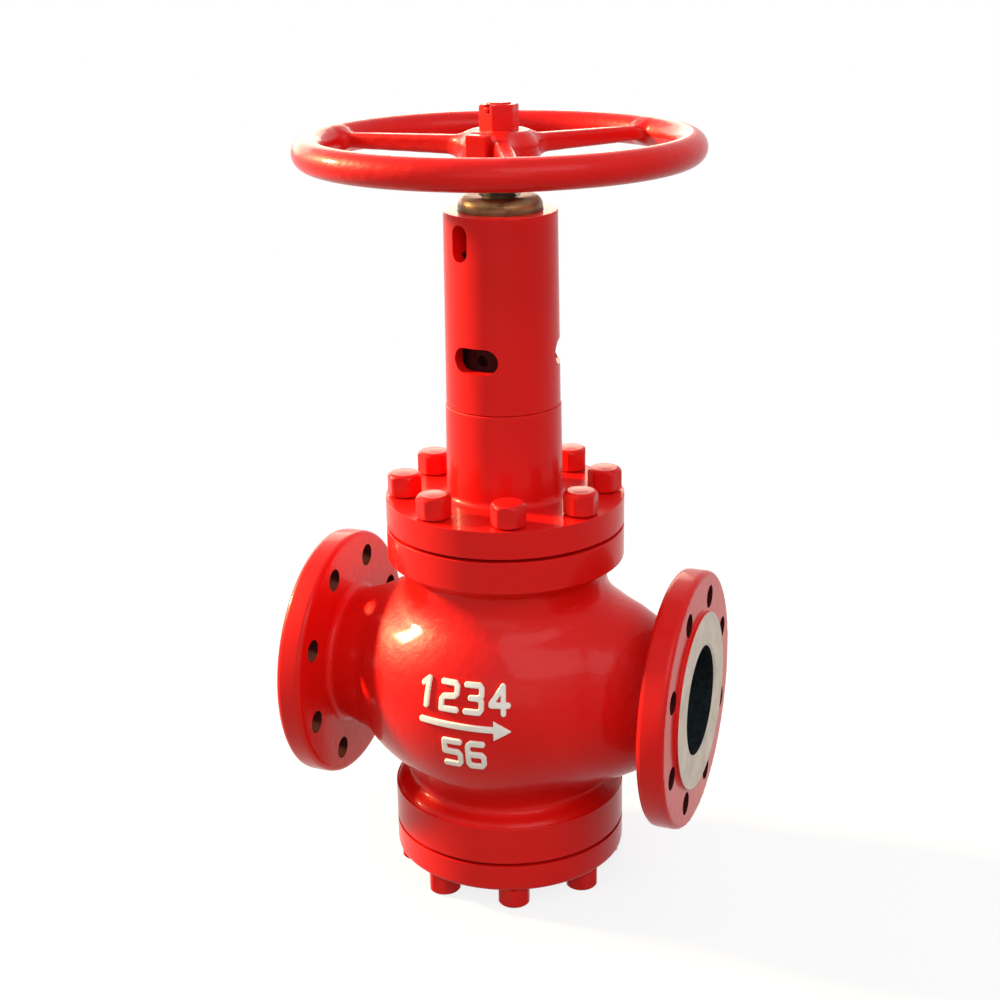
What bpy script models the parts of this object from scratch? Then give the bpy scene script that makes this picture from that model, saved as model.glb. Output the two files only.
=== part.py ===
"""Flanged globe valve, DN 80, double-seat regulating type with a tubular yoke and a handwheel.

Metres, +Z up. The stem axis is the Z axis, the pipe runs along X and flow goes from -X to +X.
The origin is on the stem axis, level with the tips of the lower studs that the valve stands on.
"""
import math

import bmesh
import bpy
from mathutils import Matrix, Vector

MM = 0.001

# Gaps. Faces that touch on the real valve stay this far apart, and so do running fits.
SEAT = 0.3 * MM
GROOVE_DEPTH = 0.8 * MM
EDGE = 1.5 * MM

# Segments round a turned piece.
FINE = 32
MEDIUM = 24
COARSE = 20
SMALL = 8
NUT_STEPS = 12
RIM_STEPS = 36

# Pipe flanges, one on each side.
FACE_TO_FACE = 318 * MM
FLANGE_R = 100 * MM
FLANGE_T = 24 * MM
RAISED_R = 69 * MM
RAISED_H = 3 * MM
PIPE_BOLT_CIRCLE_R = 80 * MM
PIPE_BOLT_HOLE_R = 9 * MM
PORT_R = 42.5 * MM
PORT_CHAMFER = 1.5 * MM
BOLT_COUNT = 8

# Body casting: an oval shell with a limb to each pipe flange.
SHELL_R = 111 * MM
SHELL_HALF_HEIGHT = 106 * MM
SHELL_WALL = 12.5 * MM
LIMB_R = 57 * MM
LIMB_FLARE = 16 * MM
LIMB_ROOT_X = 80 * MM
LIMB_BURIED_X = 60 * MM
LIMB_FILLET = 8 * MM
NECK_FILLET = 6 * MM
UPPER_FACE = 128.8 * MM
UPPER_FLANGE_T = 27.3 * MM
LOWER_FACE = 119.8 * MM
LOWER_FLANGE_T = 30.5 * MM
COLLAR_R = 92 * MM
COLLAR_STEP = 13 * MM
NECK_R = COLLAR_R - COLLAR_STEP

# Partition inside the shell: a drum with a seat in its roof and in its floor, fed by the inlet.
DRUM_R = 62 * MM
DRUM_WALL = 8 * MM
DRUM_HALF_HEIGHT = 46 * MM
BRIDGE_T = 10 * MM
INLET_TUBE_WALL = 9 * MM
INLET_TUBE_END_X = 50 * MM
INLET_THROAT_R = 35 * MM
INLET_THROAT_X = 50 * MM
INLET_CONE = 12 * MM

# Seats and plug.
UPPER_SEAT_R = 36 * MM
LOWER_SEAT_R = 33 * MM
SEAT_RING_WALL = 7.5 * MM
SEAT_FLANGE_EXTRA = 3 * MM
SEAT_FLANGE_T = 3 * MM
SEAT_CHAMFER = 2 * MM
DISC_T = 11 * MM
DISC_OVERLAP = 2.4 * MM
PLUG_WAIST_R = 17 * MM
PLUG_SKIRT = 20 * MM
PLUG_FILLET = 4 * MM
PLUG_POST_R = 24 * MM
PLUG_POST_TOP = 104 * MM
LOWER_POST_R = 14 * MM
LOWER_POST_END = 136 * MM
LIFT = 25 * MM

# Guide bushes.
UPPER_BUSH_WALL = 3.5 * MM
UPPER_BUSH_LENGTH = 32 * MM
LOWER_BUSH_WALL = 3.5 * MM
LOWER_BUSH_LENGTH = 26 * MM

# Stem.
STEM_R = 14 * MM
STEM_HEAD_R = 17 * MM
STEM_HEAD_T = 8 * MM
STEM_HEAD_DEPTH = 22 * MM
RETAINER_T = 8 * MM
THRUST_WASHER_T = 3 * MM
STEM_SQUARE = 19 * MM
STEM_THREAD_R = 9 * MM

# Joint faces, studs and nuts (M16).
GASKET_T = 2 * MM
GASKET_WIDTH = 8 * MM
SPIGOT_DEPTH = 6 * MM
STUD_EDGE = 15 * MM
STUD_CIRCLE_R = COLLAR_R - STUD_EDGE
UPPER_LAND = 19 * MM
LOWER_LAND = 29 * MM
UPPER_OPENING_R = STUD_CIRCLE_R - UPPER_LAND
LOWER_OPENING_R = STUD_CIRCLE_R - LOWER_LAND
STUD_R = 8 * MM
STUD_HOLE_R = 9 * MM
STUD_DEPTH = 20 * MM
STUD_TIP = 3 * MM
NUT_FLATS = 24 * MM
NUT_H = 14.8 * MM
NUT_CHAMFER = 2 * MM

# Bonnet and bottom cover.
BONNET_FLANGE_T = 22 * MM
BONNET_NECK_R = 44.6 * MM
BONNET_NECK_TOP_R = 44.0 * MM
BONNET_FILLET = 5 * MM
COVER_T = 21.9 * MM
GUIDE_BOSS_WALL = 8 * MM
YOKE_JOINT_H = 71.5 * MM
SPIGOT_UP = 20 * MM
COVER_BORE_FLOOR = 6 * MM

# Packing box.
PACKING_R = 23 * MM
PACKING_RING_H = 8 * MM
PACKING_RING_COUNT = 4
PACKING_BASE_T = 5 * MM
PACKING_FLOOR_H = 28 * MM
FOLLOWER_T = 9 * MM
PACKING_NUT_R = 30.5 * MM
PACKING_NUT_HEAD_H = 27 * MM
BAR_HOLE_R = 4.5 * MM
BAR_HOLE_DROP = 9 * MM
BAR_HOLE_COUNT = 6

# Tubular yoke.
YOKE_R_BOTTOM = 43.4 * MM
YOKE_R_TOP = 42.2 * MM
YOKE_WALL = 8.4 * MM
YOKE_LENGTH = 145.3 * MM
WINDOW_LOW = 31 * MM
WINDOW_H = 19 * MM
WINDOW_WIDTH = 36.6 * MM
WINDOW_COUNT = 3
WINDOW_AZIMUTH_DEG = -99
SLOT_WIDTH = 15 * MM
SLOT_H = 27 * MM
SLOT_BELOW_TOP = 6 * MM
SLOT_AZIMUTH_DEG = -115
LEDGE_DEPTH = 12 * MM
LEDGE_T = 16 * MM

# Bronze stem nut, locked by a grub screw.
STEM_NUT_R = 31.4 * MM
STEM_NUT_BODY_R = 22 * MM
STEM_NUT_PROUD = 11.5 * MM
STEM_NUT_ROUNDING = 6 * MM
STEM_NUT_TAIL = 12 * MM
GRUB_R = 3 * MM
GRUB_AZIMUTH_DEG = 65

# Handwheel.
WHEEL_R = 150 * MM
RIM_R = 11.25 * MM
RIM_SECTION_STEPS = 8
WHEEL_ABOVE_YOKE = 45 * MM
SPOKE_COUNT = 3
SPOKE_AZIMUTH_DEG = -65
SPOKE_W_HUB = 15.5 * MM
SPOKE_H_HUB = 15 * MM
SPOKE_W_RIM = 14 * MM
SPOKE_H_RIM = 12 * MM
SPOKE_RISE = 2 * MM
HUB_R = 29 * MM
HUB_TOP_R = 21 * MM
HUB_BOTTOM_R = 24 * MM
HUB_BELOW_RIM = 23 * MM
HUB_ABOVE_RIM = 10 * MM
HUB_SHOULDER = 8 * MM

# Hub fasteners: a slotted nut (M18) with a split pin, and a square-headed lock screw.
WHEEL_NUT_FLATS = 27 * MM
WHEEL_NUT_H = 20.5 * MM
WHEEL_NUT_SLOT_W = 6 * MM
WHEEL_NUT_SLOT_DEPTH = 6 * MM
WHEEL_NUT_AZIMUTH_DEG = -110
PIN_R = 1.8 * MM
PIN_BEND = 5 * MM
LOCK_AZIMUTH_DEG = -99
LOCK_SEAT_R = 27.5 * MM
LOCK_SHANK_R = 6 * MM
LOCK_HEAD = 17 * MM
LOCK_HEAD_T = 9 * MM
LOCK_BELOW_RIM = 0.5 * MM

# Heights above the origin that follow from the stack of pieces.
JOINT_GAP = GASKET_T + 2 * SEAT
COVER_BOTTOM = STUD_TIP + NUT_H + SEAT
COVER_TOP = COVER_BOTTOM + COVER_T
PIPE_Z = COVER_TOP + JOINT_GAP + LOWER_FACE
BONNET_BOTTOM = PIPE_Z + UPPER_FACE + JOINT_GAP
BONNET_TOP = BONNET_BOTTOM + BONNET_FLANGE_T
YOKE_BOTTOM = BONNET_TOP + YOKE_JOINT_H + SEAT
YOKE_TOP = YOKE_BOTTOM + YOKE_LENGTH
WHEEL_Z = YOKE_TOP + WHEEL_ABOVE_YOKE
HUB_TOP = WHEEL_Z + HUB_ABOVE_RIM
HUB_BOTTOM = WHEEL_Z - HUB_BELOW_RIM
WHEEL_NUT_BOTTOM = HUB_TOP + SEAT
WHEEL_NUT_TOP = WHEEL_NUT_BOTTOM + WHEEL_NUT_H
UPPER_BRIDGE_TOP = PIPE_Z + DRUM_HALF_HEIGHT
LOWER_BRIDGE_TOP = PIPE_Z - DRUM_HALF_HEIGHT + BRIDGE_T
UPPER_SEAT_TOP = UPPER_BRIDGE_TOP + SEAT + SEAT_FLANGE_T
LOWER_SEAT_TOP = LOWER_BRIDGE_TOP + SEAT + SEAT_FLANGE_T
POST_TOP = PIPE_Z + PLUG_POST_TOP
POST_END = PIPE_Z - LOWER_POST_END
HEAD_BOTTOM = POST_TOP - STEM_HEAD_DEPTH
PACKING_FLOOR = BONNET_TOP + PACKING_FLOOR_H
STEM_BORE_R = STEM_R + SEAT
UPPER_BUSH_R = PLUG_POST_R + SEAT + UPPER_BUSH_WALL
LOWER_BUSH_R = LOWER_POST_R + SEAT + LOWER_BUSH_WALL
YOKE_BORE_R = YOKE_R_TOP - YOKE_WALL
STUD_FIRST_DEG = 180 / BOLT_COUNT


def clear_scene():
    for obj in list(bpy.data.objects):
        bpy.data.objects.remove(obj, do_unlink=True)


def collection(name):
    made = bpy.data.collections.new(name)
    bpy.context.scene.collection.children.link(made)
    return made


clear_scene()
PARTS = collection("globe_valve")
HELPERS = collection("cutters")


def material(name, colour, roughness, metallic):
    made = bpy.data.materials.new(name)
    made.use_nodes = True
    shader = made.node_tree.nodes["Principled BSDF"]
    shader.inputs["Base Color"].default_value = (*colour, 1)
    shader.inputs["Roughness"].default_value = roughness
    shader.inputs["Metallic"].default_value = metallic
    made.diffuse_color = (*colour, 1)
    return made


RED_PAINT = material("red_paint", (0.58, 0.005, 0.008), 0.25, 0.0)
TURNED_STEEL = material("turned_steel", (0.55, 0.52, 0.48), 0.35, 1.0)
BRONZE = material("bronze", (0.45, 0.27, 0.12), 0.3, 1.0)
GRAPHITE = material("graphite", (0.03, 0.03, 0.035), 0.7, 0.0)


def place(obj, home):
    home.objects.link(obj)
    if home is HELPERS:
        obj.hide_render = True
        obj.display_type = "WIRE"
    return obj


def polar(radius, degrees, z=0.0):
    angle = math.radians(degrees)
    return Vector((radius * math.cos(angle), radius * math.sin(angle), z))


def spaced(count, first=0.0):
    return [first + 360 * i / count for i in range(count)]


def arc(centre_r, centre_z, radius, start, end, steps=2):
    """Points of a round stretch of a profile, from one angle to the other in degrees."""
    angles = [math.radians(start + (end - start) * i / steps) for i in range(steps + 1)]
    return [(centre_r + radius * math.cos(a), centre_z + radius * math.sin(a)) for a in angles]


def oval(half_width, half_height, r_top, r_bottom, steps=8):
    """The outer side of an oval, from radius r_top above its middle to r_bottom below it."""
    start = math.acos(r_top / half_width)
    end = -math.acos(r_bottom / half_width)
    angles = [start + (end - start) * i / steps for i in range(steps + 1)]
    return [(half_width * math.cos(a), half_height * math.sin(a)) for a in angles]


def turned(name, profile, steps=FINE, z=0.0, home=PARTS, along_x=False, closed=False):
    """Spins a profile of (radius, height) points, outer side first and downwards."""
    mesh = bpy.data.meshes.new(name)
    points = [(r, 0, h) for r, h in profile]
    edges = [(i, i + 1) for i in range(len(points) - 1)]
    if closed:
        edges.append((len(points) - 1, 0))
    mesh.from_pydata(points, edges, [])
    obj = place(bpy.data.objects.new(name, mesh), home)
    spin = obj.modifiers.new("spin", "SCREW")
    spin.axis = "Z"
    spin.angle = 2 * math.pi
    spin.steps = steps
    spin.render_steps = steps
    spin.use_merge_vertices = True
    spin.merge_threshold = 0.00001
    obj.location.z = z
    if along_x:
        obj.rotation_euler.y = math.pi / 2
    return obj


def ring(name, inner, outer, bottom, top, steps=MEDIUM, home=PARTS, edge=0.0):
    """A plain turned ring, with its outer edges broken by the edge width."""
    profile = [(outer - edge, top)]
    if edge:
        profile.append((outer, top - edge))
        profile.append((outer, bottom + edge))
    else:
        profile[0] = (outer, top)
    profile += [(outer - edge, bottom), (inner, bottom), (inner, top)]
    return turned(name, profile, steps, home=home, closed=True)


def rod_mesh(name, radius, length, steps=SMALL, chamfer=0.0):
    """A round bar along Z from 0 to its length, with its far end chamfered."""
    work = bmesh.new()
    bmesh.ops.create_cone(
        work, cap_ends=True, segments=steps, radius1=radius, radius2=radius, depth=length
    )
    bmesh.ops.translate(work, verts=work.verts, vec=(0, 0, length / 2))
    if chamfer:
        tip = [e for e in work.edges if all(v.co.z > length / 2 for v in e.verts)]
        bmesh.ops.bevel(work, geom=tip, offset=chamfer, segments=1, affect="EDGES", profile=0.5)
    mesh = bpy.data.meshes.new(name)
    work.to_mesh(mesh)
    work.free()
    return mesh


def copies(name, mesh, places, home=PARTS):
    """One object that holds a separate copy of a mesh at each place (a matrix)."""
    work = bmesh.new()
    for matrix in places:
        one = mesh.copy()
        one.transform(matrix)
        work.from_mesh(one)
        bpy.data.meshes.remove(one)
    joined = bpy.data.meshes.new(name)
    work.to_mesh(joined)
    work.free()
    return place(bpy.data.objects.new(name, joined), home)


def repeat(name, mesh, places, look):
    """A numbered object for each place (a matrix), which all share one mesh."""
    for number, matrix in enumerate(places, 1):
        one = place(bpy.data.objects.new(f"{name}_{number}", mesh), PARTS)
        one.matrix_world = matrix
        finish(one, look)


def boolean(target, operation, other):
    step = target.modifiers.new(other.name, "BOOLEAN")
    step.operation = operation
    step.solver = "EXACT"
    step.object = other


def baked(obj):
    """The object's mesh with its modifiers applied, and the object removed."""
    graph = bpy.context.evaluated_depsgraph_get()
    mesh = bpy.data.meshes.new_from_object(obj.evaluated_get(graph))
    mesh.transform(obj.matrix_world)
    bpy.data.objects.remove(obj, do_unlink=True)
    return mesh


def finish(obj, look):
    """Gives a sub-part its material and smooth shading with sharp edges."""
    obj.data.materials.clear()
    obj.data.materials.append(look)
    obj.data.shade_smooth()
    obj.data.set_sharp_from_angle(angle=math.radians(35))
    return obj


def obround(name, width, height, length, steps=SMALL):
    """A bar along Z with round ends to its section, which lies width by height across local Y and X."""
    radius = min(width, height) / 2
    along = Vector((height / 2 - radius, width / 2 - radius, 0))
    work = bmesh.new()
    for end in (0, length):
        for side in (-1, 1):
            middle = side * along + Vector((0, 0, end))
            bmesh.ops.create_circle(
                work, segments=steps, radius=radius, matrix=Matrix.Translation(middle)
            )
    hull = bmesh.ops.convex_hull(work, input=work.verts)
    inside = [g for g in hull["geom_interior"] if isinstance(g, bmesh.types.BMVert)]
    bmesh.ops.delete(work, geom=inside, context="VERTS")
    bmesh.ops.recalc_face_normals(work, faces=work.faces)
    mesh = bpy.data.meshes.new(name)
    work.to_mesh(mesh)
    work.free()
    return mesh


def box(name, size, matrix):
    """A cutter or a block of the given size, centred at a matrix."""
    work = bmesh.new()
    bmesh.ops.create_cube(work, size=1, matrix=matrix @ Matrix.Diagonal((*size, 1)))
    mesh = bpy.data.meshes.new(name)
    work.to_mesh(mesh)
    work.free()
    return place(bpy.data.objects.new(name, mesh), HELPERS)


def radial(degrees, radius, z):
    """A frame at a point of a circle whose local Z points outwards."""
    turn = Matrix.Rotation(math.radians(degrees), 4, "Z")
    tip = Matrix.Rotation(math.pi / 2, 4, "Y")
    return Matrix.Translation(polar(radius, degrees, z)) @ turn @ tip


def limb_profile():
    """Half of the pipe limb, turned about X: raised face, flange, fillet and flared neck."""
    half = FACE_TO_FACE / 2
    front = half - RAISED_H
    back = half - FLANGE_T
    points = [(0, half), (RAISED_R, half), (RAISED_R, front)]
    points += [(FLANGE_R - EDGE, front), (FLANGE_R, front - EDGE)]
    points += [(FLANGE_R, back + EDGE), (FLANGE_R - EDGE, back)]
    points += arc(LIMB_R + LIMB_FILLET, back - LIMB_FILLET, LIMB_FILLET, 90, 180)
    neck = back - LIMB_FILLET
    steps = 2
    for i in range(1, steps + 1):
        share = i / steps
        x = neck + (LIMB_ROOT_X - neck) * share
        points.append((LIMB_R + LIMB_FLARE * share**1.4, x))
    points.append((LIMB_R + LIMB_FLARE, LIMB_BURIED_X))
    return points


def make_body():
    """The body casting: shell, limbs, joint flanges and the partition with its two seat holes."""
    upper_back = UPPER_FACE - UPPER_FLANGE_T
    lower_back = -(LOWER_FACE - LOWER_FLANGE_T)
    profile = [(0, UPPER_FACE), (COLLAR_R - EDGE, UPPER_FACE), (COLLAR_R, UPPER_FACE - EDGE)]
    profile += [(COLLAR_R, upper_back + EDGE), (COLLAR_R - EDGE, upper_back)]
    profile += arc(NECK_R + NECK_FILLET, upper_back - NECK_FILLET, NECK_FILLET, 90, 180)
    profile += oval(SHELL_R, SHELL_HALF_HEIGHT, NECK_R, NECK_R)
    profile += arc(NECK_R + NECK_FILLET, lower_back + NECK_FILLET, NECK_FILLET, 180, 270)
    profile += [(COLLAR_R - EDGE, lower_back), (COLLAR_R, lower_back - EDGE)]
    profile += [(COLLAR_R, -LOWER_FACE + EDGE), (COLLAR_R - EDGE, -LOWER_FACE)]
    profile.append((0, -LOWER_FACE))
    body = turned("valve_body", profile, z=PIPE_Z)

    limb = limb_profile()
    limb += [(r, -x) for r, x in reversed(limb)]
    limbs = turned("limbs", limb, z=PIPE_Z, home=HELPERS, along_x=True)
    boolean(body, "UNION", limbs)

    past = 5 * MM
    inner_r = SHELL_R - SHELL_WALL
    inner_h = SHELL_HALF_HEIGHT - SHELL_WALL
    hollow = [(0, UPPER_FACE + past), (UPPER_OPENING_R, UPPER_FACE + past)]
    hollow += oval(inner_r, inner_h, UPPER_OPENING_R, LOWER_OPENING_R, steps=6)
    hollow += [(LOWER_OPENING_R, -LOWER_FACE - past), (0, -LOWER_FACE - past)]
    cavity = turned("cavity", hollow, z=PIPE_Z, home=HELPERS)
    boolean(body, "DIFFERENCE", cavity)

    drum_outer = [(0, DRUM_HALF_HEIGHT), (DRUM_R, DRUM_HALF_HEIGHT)]
    drum_outer += [(DRUM_R, -DRUM_HALF_HEIGHT), (0, -DRUM_HALF_HEIGHT)]
    drum = turned("drum", drum_outer, MEDIUM, z=PIPE_Z, home=HELPERS)
    tube_r = PORT_R + INLET_TUBE_WALL
    tube_start = -INLET_TUBE_END_X
    tube_outer = [(0, tube_start), (tube_r, tube_start), (tube_r, -SHELL_R), (0, -SHELL_R)]
    tube = turned("inlet_tube", tube_outer, MEDIUM, z=PIPE_Z, home=HELPERS, along_x=True)
    boolean(body, "UNION", drum)
    boolean(body, "UNION", tube)

    chamber_half = DRUM_HALF_HEIGHT - BRIDGE_T
    chamber_r = DRUM_R - DRUM_WALL
    upper_hole = UPPER_SEAT_R + SEAT_RING_WALL + SEAT
    lower_hole = LOWER_SEAT_R + SEAT_RING_WALL + SEAT
    through = DRUM_HALF_HEIGHT + 1 * MM
    inside = [(0, through), (upper_hole, through), (upper_hole, chamber_half)]
    inside += [(chamber_r, chamber_half), (chamber_r, -chamber_half)]
    inside += [(lower_hole, -chamber_half), (lower_hole, -through), (0, -through)]
    chamber = turned("chamber", inside, MEDIUM, z=PIPE_Z, home=HELPERS)
    boolean(body, "DIFFERENCE", chamber)

    half = FACE_TO_FACE / 2
    mouth_r = PORT_R + PORT_CHAMFER + past
    outlet = [(0, half + past), (mouth_r, half + past), (PORT_R, half - PORT_CHAMFER)]
    outlet += [(PORT_R, LIMB_ROOT_X), (0, LIMB_ROOT_X)]
    cone = INLET_THROAT_X + INLET_CONE
    inlet = [(0, -INLET_THROAT_R), (INLET_THROAT_R, -INLET_THROAT_R)]
    inlet += [(INLET_THROAT_R, -INLET_THROAT_X), (PORT_R, -cone), (PORT_R, -half + PORT_CHAMFER)]
    inlet += [(mouth_r, -half - past), (0, -half - past)]
    for name, bore_profile in (("outlet_bore", outlet), ("inlet_bore", inlet)):
        bore = turned(name, bore_profile, MEDIUM, z=PIPE_Z, home=HELPERS, along_x=True)
        boolean(body, "DIFFERENCE", bore)

    hole = rod_mesh("pipe_bolt_hole", PIPE_BOLT_HOLE_R, FLANGE_T + 2 * past)
    tip = Matrix.Rotation(math.pi / 2, 4, "Y")
    places = []
    for angle in spaced(BOLT_COUNT, STUD_FIRST_DEG):
        y = PIPE_BOLT_CIRCLE_R * math.cos(math.radians(angle))
        z = PIPE_Z + PIPE_BOLT_CIRCLE_R * math.sin(math.radians(angle))
        for x in (-half - past, half - FLANGE_T - past):
            places.append(Matrix.Translation((x, y, z)) @ tip)
    boolean(body, "DIFFERENCE", copies("pipe_bolt_holes", hole, places, HELPERS))

    socket = rod_mesh("stud_socket", STUD_R + SEAT, STUD_DEPTH + past)
    places = stud_places(PIPE_Z + UPPER_FACE - STUD_DEPTH)
    places += stud_places(PIPE_Z - LOWER_FACE - past)
    boolean(body, "DIFFERENCE", copies("stud_sockets", socket, places, HELPERS))
    return finish(body, RED_PAINT)


def stud_places(z):
    turns = [math.radians(a) for a in spaced(BOLT_COUNT, STUD_FIRST_DEG)]
    start = Matrix.Translation((STUD_CIRCLE_R, 0, z))
    return [Matrix.Rotation(t, 4, "Z") @ start for t in turns]


def hex_nut(name, flats, height, bore_r, steps=NUT_STEPS):
    """A hexagon cut to a turned blank, which gives the bore and the rounded corners."""
    corner = flats / math.sqrt(3)
    chamfer = NUT_CHAMFER
    prism = bmesh.new()
    bmesh.ops.create_cone(
        prism, cap_ends=True, segments=6, radius1=corner, radius2=corner, depth=height
    )
    bmesh.ops.translate(prism, verts=prism.verts, vec=(0, 0, height / 2))
    mesh = bpy.data.meshes.new(name)
    prism.to_mesh(mesh)
    prism.free()
    nut = place(bpy.data.objects.new(name, mesh), HELPERS)
    past = 1 * MM
    blank = [(flats / 2 - past, height + past), (corner + past, height - chamfer)]
    blank += [(corner + past, -past), (bore_r, -past), (bore_r, height + past)]
    boolean(nut, "INTERSECT", turned(name + "_blank", blank, steps, home=HELPERS, closed=True))
    return nut


def make_studs_and_nuts():
    """Two sets of eight studs with nuts: one holds the bonnet, the other the bottom cover."""
    length = STUD_DEPTH - SEAT + JOINT_GAP + BONNET_FLANGE_T + SEAT + NUT_H + STUD_TIP
    stud = rod_mesh("stud", STUD_R, length, chamfer=EDGE / 2)
    low = PIPE_Z + UPPER_FACE - STUD_DEPTH + SEAT
    repeat("bonnet_stud", stud, stud_places(low), TURNED_STEEL)
    length = STUD_DEPTH - SEAT + JOINT_GAP + COVER_T + SEAT + NUT_H + STUD_TIP
    stud = rod_mesh("cover_stud", STUD_R, length, chamfer=EDGE / 2)
    flip = Matrix.Rotation(math.pi, 4, "X")
    repeat("cover_stud", stud, [m @ flip for m in stud_places(length)], TURNED_STEEL)

    nut = baked(hex_nut("nut", NUT_FLATS, NUT_H, STUD_R + SEAT))
    repeat("bonnet_nut", nut, stud_places(BONNET_TOP + SEAT), RED_PAINT)
    places = [m @ flip for m in stud_places(COVER_BOTTOM - SEAT)]
    repeat("cover_nut", nut, places, RED_PAINT)


def cut_stud_holes(target, bottom, thickness, name):
    past = 2 * MM
    hole = rod_mesh(name, STUD_HOLE_R, thickness + 2 * past)
    holes = copies(name + "s", hole, stud_places(bottom - past), HELPERS)
    boolean(target, "DIFFERENCE", holes)


def make_bonnet():
    """The bonnet: joint flange, guide boss below it, and a neck that holds the packing box."""
    top = BONNET_TOP
    bottom = BONNET_BOTTOM
    boss_r = UPPER_BUSH_R + SEAT + GUIDE_BOSS_WALL
    spigot_r = UPPER_OPENING_R - SEAT
    shoulder = YOKE_BOTTOM - SEAT
    bush_top = bottom - SPIGOT_DEPTH
    bush_bottom = bush_top - UPPER_BUSH_LENGTH
    socket_r = YOKE_BORE_R - SEAT
    rim = shoulder + SPIGOT_UP
    post_room = POST_TOP + LIFT + SEAT
    profile = [(socket_r, rim), (socket_r, shoulder), (BONNET_NECK_TOP_R - GROOVE_DEPTH, shoulder)]
    profile += [(BONNET_NECK_TOP_R, shoulder - GROOVE_DEPTH)]
    profile += arc(
        BONNET_NECK_R + BONNET_FILLET, top + BONNET_FILLET, BONNET_FILLET, 180, 270
    )
    profile += [(COLLAR_R - EDGE, top), (COLLAR_R, top - EDGE), (COLLAR_R, bottom + EDGE)]
    profile += [(COLLAR_R - EDGE, bottom), (spigot_r, bottom), (spigot_r, bottom - SPIGOT_DEPTH)]
    profile += [(boss_r, bottom - SPIGOT_DEPTH - EDGE), (boss_r, bush_bottom)]
    profile += [(UPPER_BUSH_R + SEAT, bush_bottom), (UPPER_BUSH_R + SEAT, bush_top)]
    profile += [(PLUG_POST_R + 2 * SEAT, bush_top + SEAT), (PLUG_POST_R + 2 * SEAT, post_room)]
    profile += [(STEM_BORE_R, post_room + EDGE), (STEM_BORE_R, PACKING_FLOOR)]
    profile += [(PACKING_R, PACKING_FLOOR), (PACKING_R, rim)]
    bonnet = turned("bonnet", profile, closed=True)
    cut_stud_holes(bonnet, bottom, BONNET_FLANGE_T, "bonnet_hole")
    finish(bonnet, RED_PAINT)

    bush = ring(
        "upper_guide_bush",
        PLUG_POST_R + SEAT,
        UPPER_BUSH_R,
        bush_bottom,
        bush_top - SEAT,
    )
    finish(bush, BRONZE)


def make_packing():
    """Stem packing: base ring, packing rings, follower and the nut that presses them down."""
    inner = STEM_BORE_R
    outer = PACKING_R - SEAT
    z = PACKING_FLOOR + SEAT
    finish(ring("packing_base_ring", inner, outer, z, z + PACKING_BASE_T, COARSE), TURNED_STEEL)
    z += PACKING_BASE_T + SEAT
    one = ring("one_packing_ring", inner, outer, 0, PACKING_RING_H, COARSE, home=HELPERS)
    mesh = baked(one)
    pitch = PACKING_RING_H + SEAT
    places = [Matrix.Translation((0, 0, z + i * pitch)) for i in range(PACKING_RING_COUNT)]
    repeat("packing_ring", mesh, places, GRAPHITE)
    z += PACKING_RING_COUNT * pitch
    finish(ring("gland_follower", inner, outer, z, z + FOLLOWER_T, COARSE), BRONZE)
    z += FOLLOWER_T + SEAT

    head_bottom = YOKE_BOTTOM - SEAT + SPIGOT_UP + SEAT
    head_top = head_bottom + PACKING_NUT_HEAD_H
    profile = [(PACKING_NUT_R - EDGE, head_top), (PACKING_NUT_R, head_top - EDGE)]
    profile += [(PACKING_NUT_R, head_bottom), (outer, head_bottom), (outer, z)]
    profile += [(inner, z), (inner, head_top)]
    nut = turned("packing_nut", profile, COARSE, closed=True)
    wall = PACKING_NUT_R - outer
    drill = rod_mesh("bar_hole", BAR_HOLE_R, 2 * wall, steps=10)
    level = head_top - BAR_HOLE_DROP
    places = [radial(a, outer, level) for a in spaced(BAR_HOLE_COUNT, WINDOW_AZIMUTH_DEG)]
    boolean(nut, "DIFFERENCE", copies("bar_holes", drill, places, HELPERS))
    finish(nut, TURNED_STEEL)


def make_gaskets():
    """Flat ring gaskets, centred on the spigots of the bonnet and of the bottom cover."""
    for name, opening_r, z in (
        ("bonnet_gasket", UPPER_OPENING_R, PIPE_Z + UPPER_FACE + SEAT),
        ("cover_gasket", LOWER_OPENING_R, COVER_TOP + SEAT),
    ):
        gasket = ring(name, opening_r, opening_r + GASKET_WIDTH, z, z + GASKET_T, FINE)
        finish(gasket, GRAPHITE)


def make_cover():
    """The bottom cover, with the boss that guides the lower end of the plug, and its bush."""
    top = COVER_TOP
    bottom = COVER_BOTTOM
    boss_r = LOWER_BUSH_R + SEAT + GUIDE_BOSS_WALL
    spigot_r = LOWER_OPENING_R - SEAT
    bore_floor = bottom + COVER_BORE_FLOOR
    bush_bottom = top - EDGE
    bush_top = bush_bottom + LOWER_BUSH_LENGTH
    post_room = LOWER_POST_R + 2 * SEAT
    bush_room = LOWER_BUSH_R + SEAT
    profile = [(0, bore_floor), (post_room, bore_floor), (post_room, bush_bottom - SEAT)]
    profile += [(bush_room, bush_bottom - SEAT), (bush_room, bush_top), (boss_r, bush_top)]
    profile += [(boss_r, top + SPIGOT_DEPTH + EDGE), (spigot_r, top + SPIGOT_DEPTH)]
    profile += [(spigot_r, top), (COLLAR_R - EDGE, top), (COLLAR_R, top - EDGE)]
    profile += [(COLLAR_R, bottom + EDGE), (COLLAR_R - EDGE, bottom), (0, bottom)]
    cover = turned("bottom_cover", profile)
    cut_stud_holes(cover, bottom, COVER_T, "cover_hole")
    finish(cover, RED_PAINT)
    bush = ring(
        "lower_guide_bush",
        LOWER_POST_R + SEAT,
        LOWER_BUSH_R,
        bush_bottom,
        bush_top,
        COARSE,
    )
    finish(bush, BRONZE)


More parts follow.
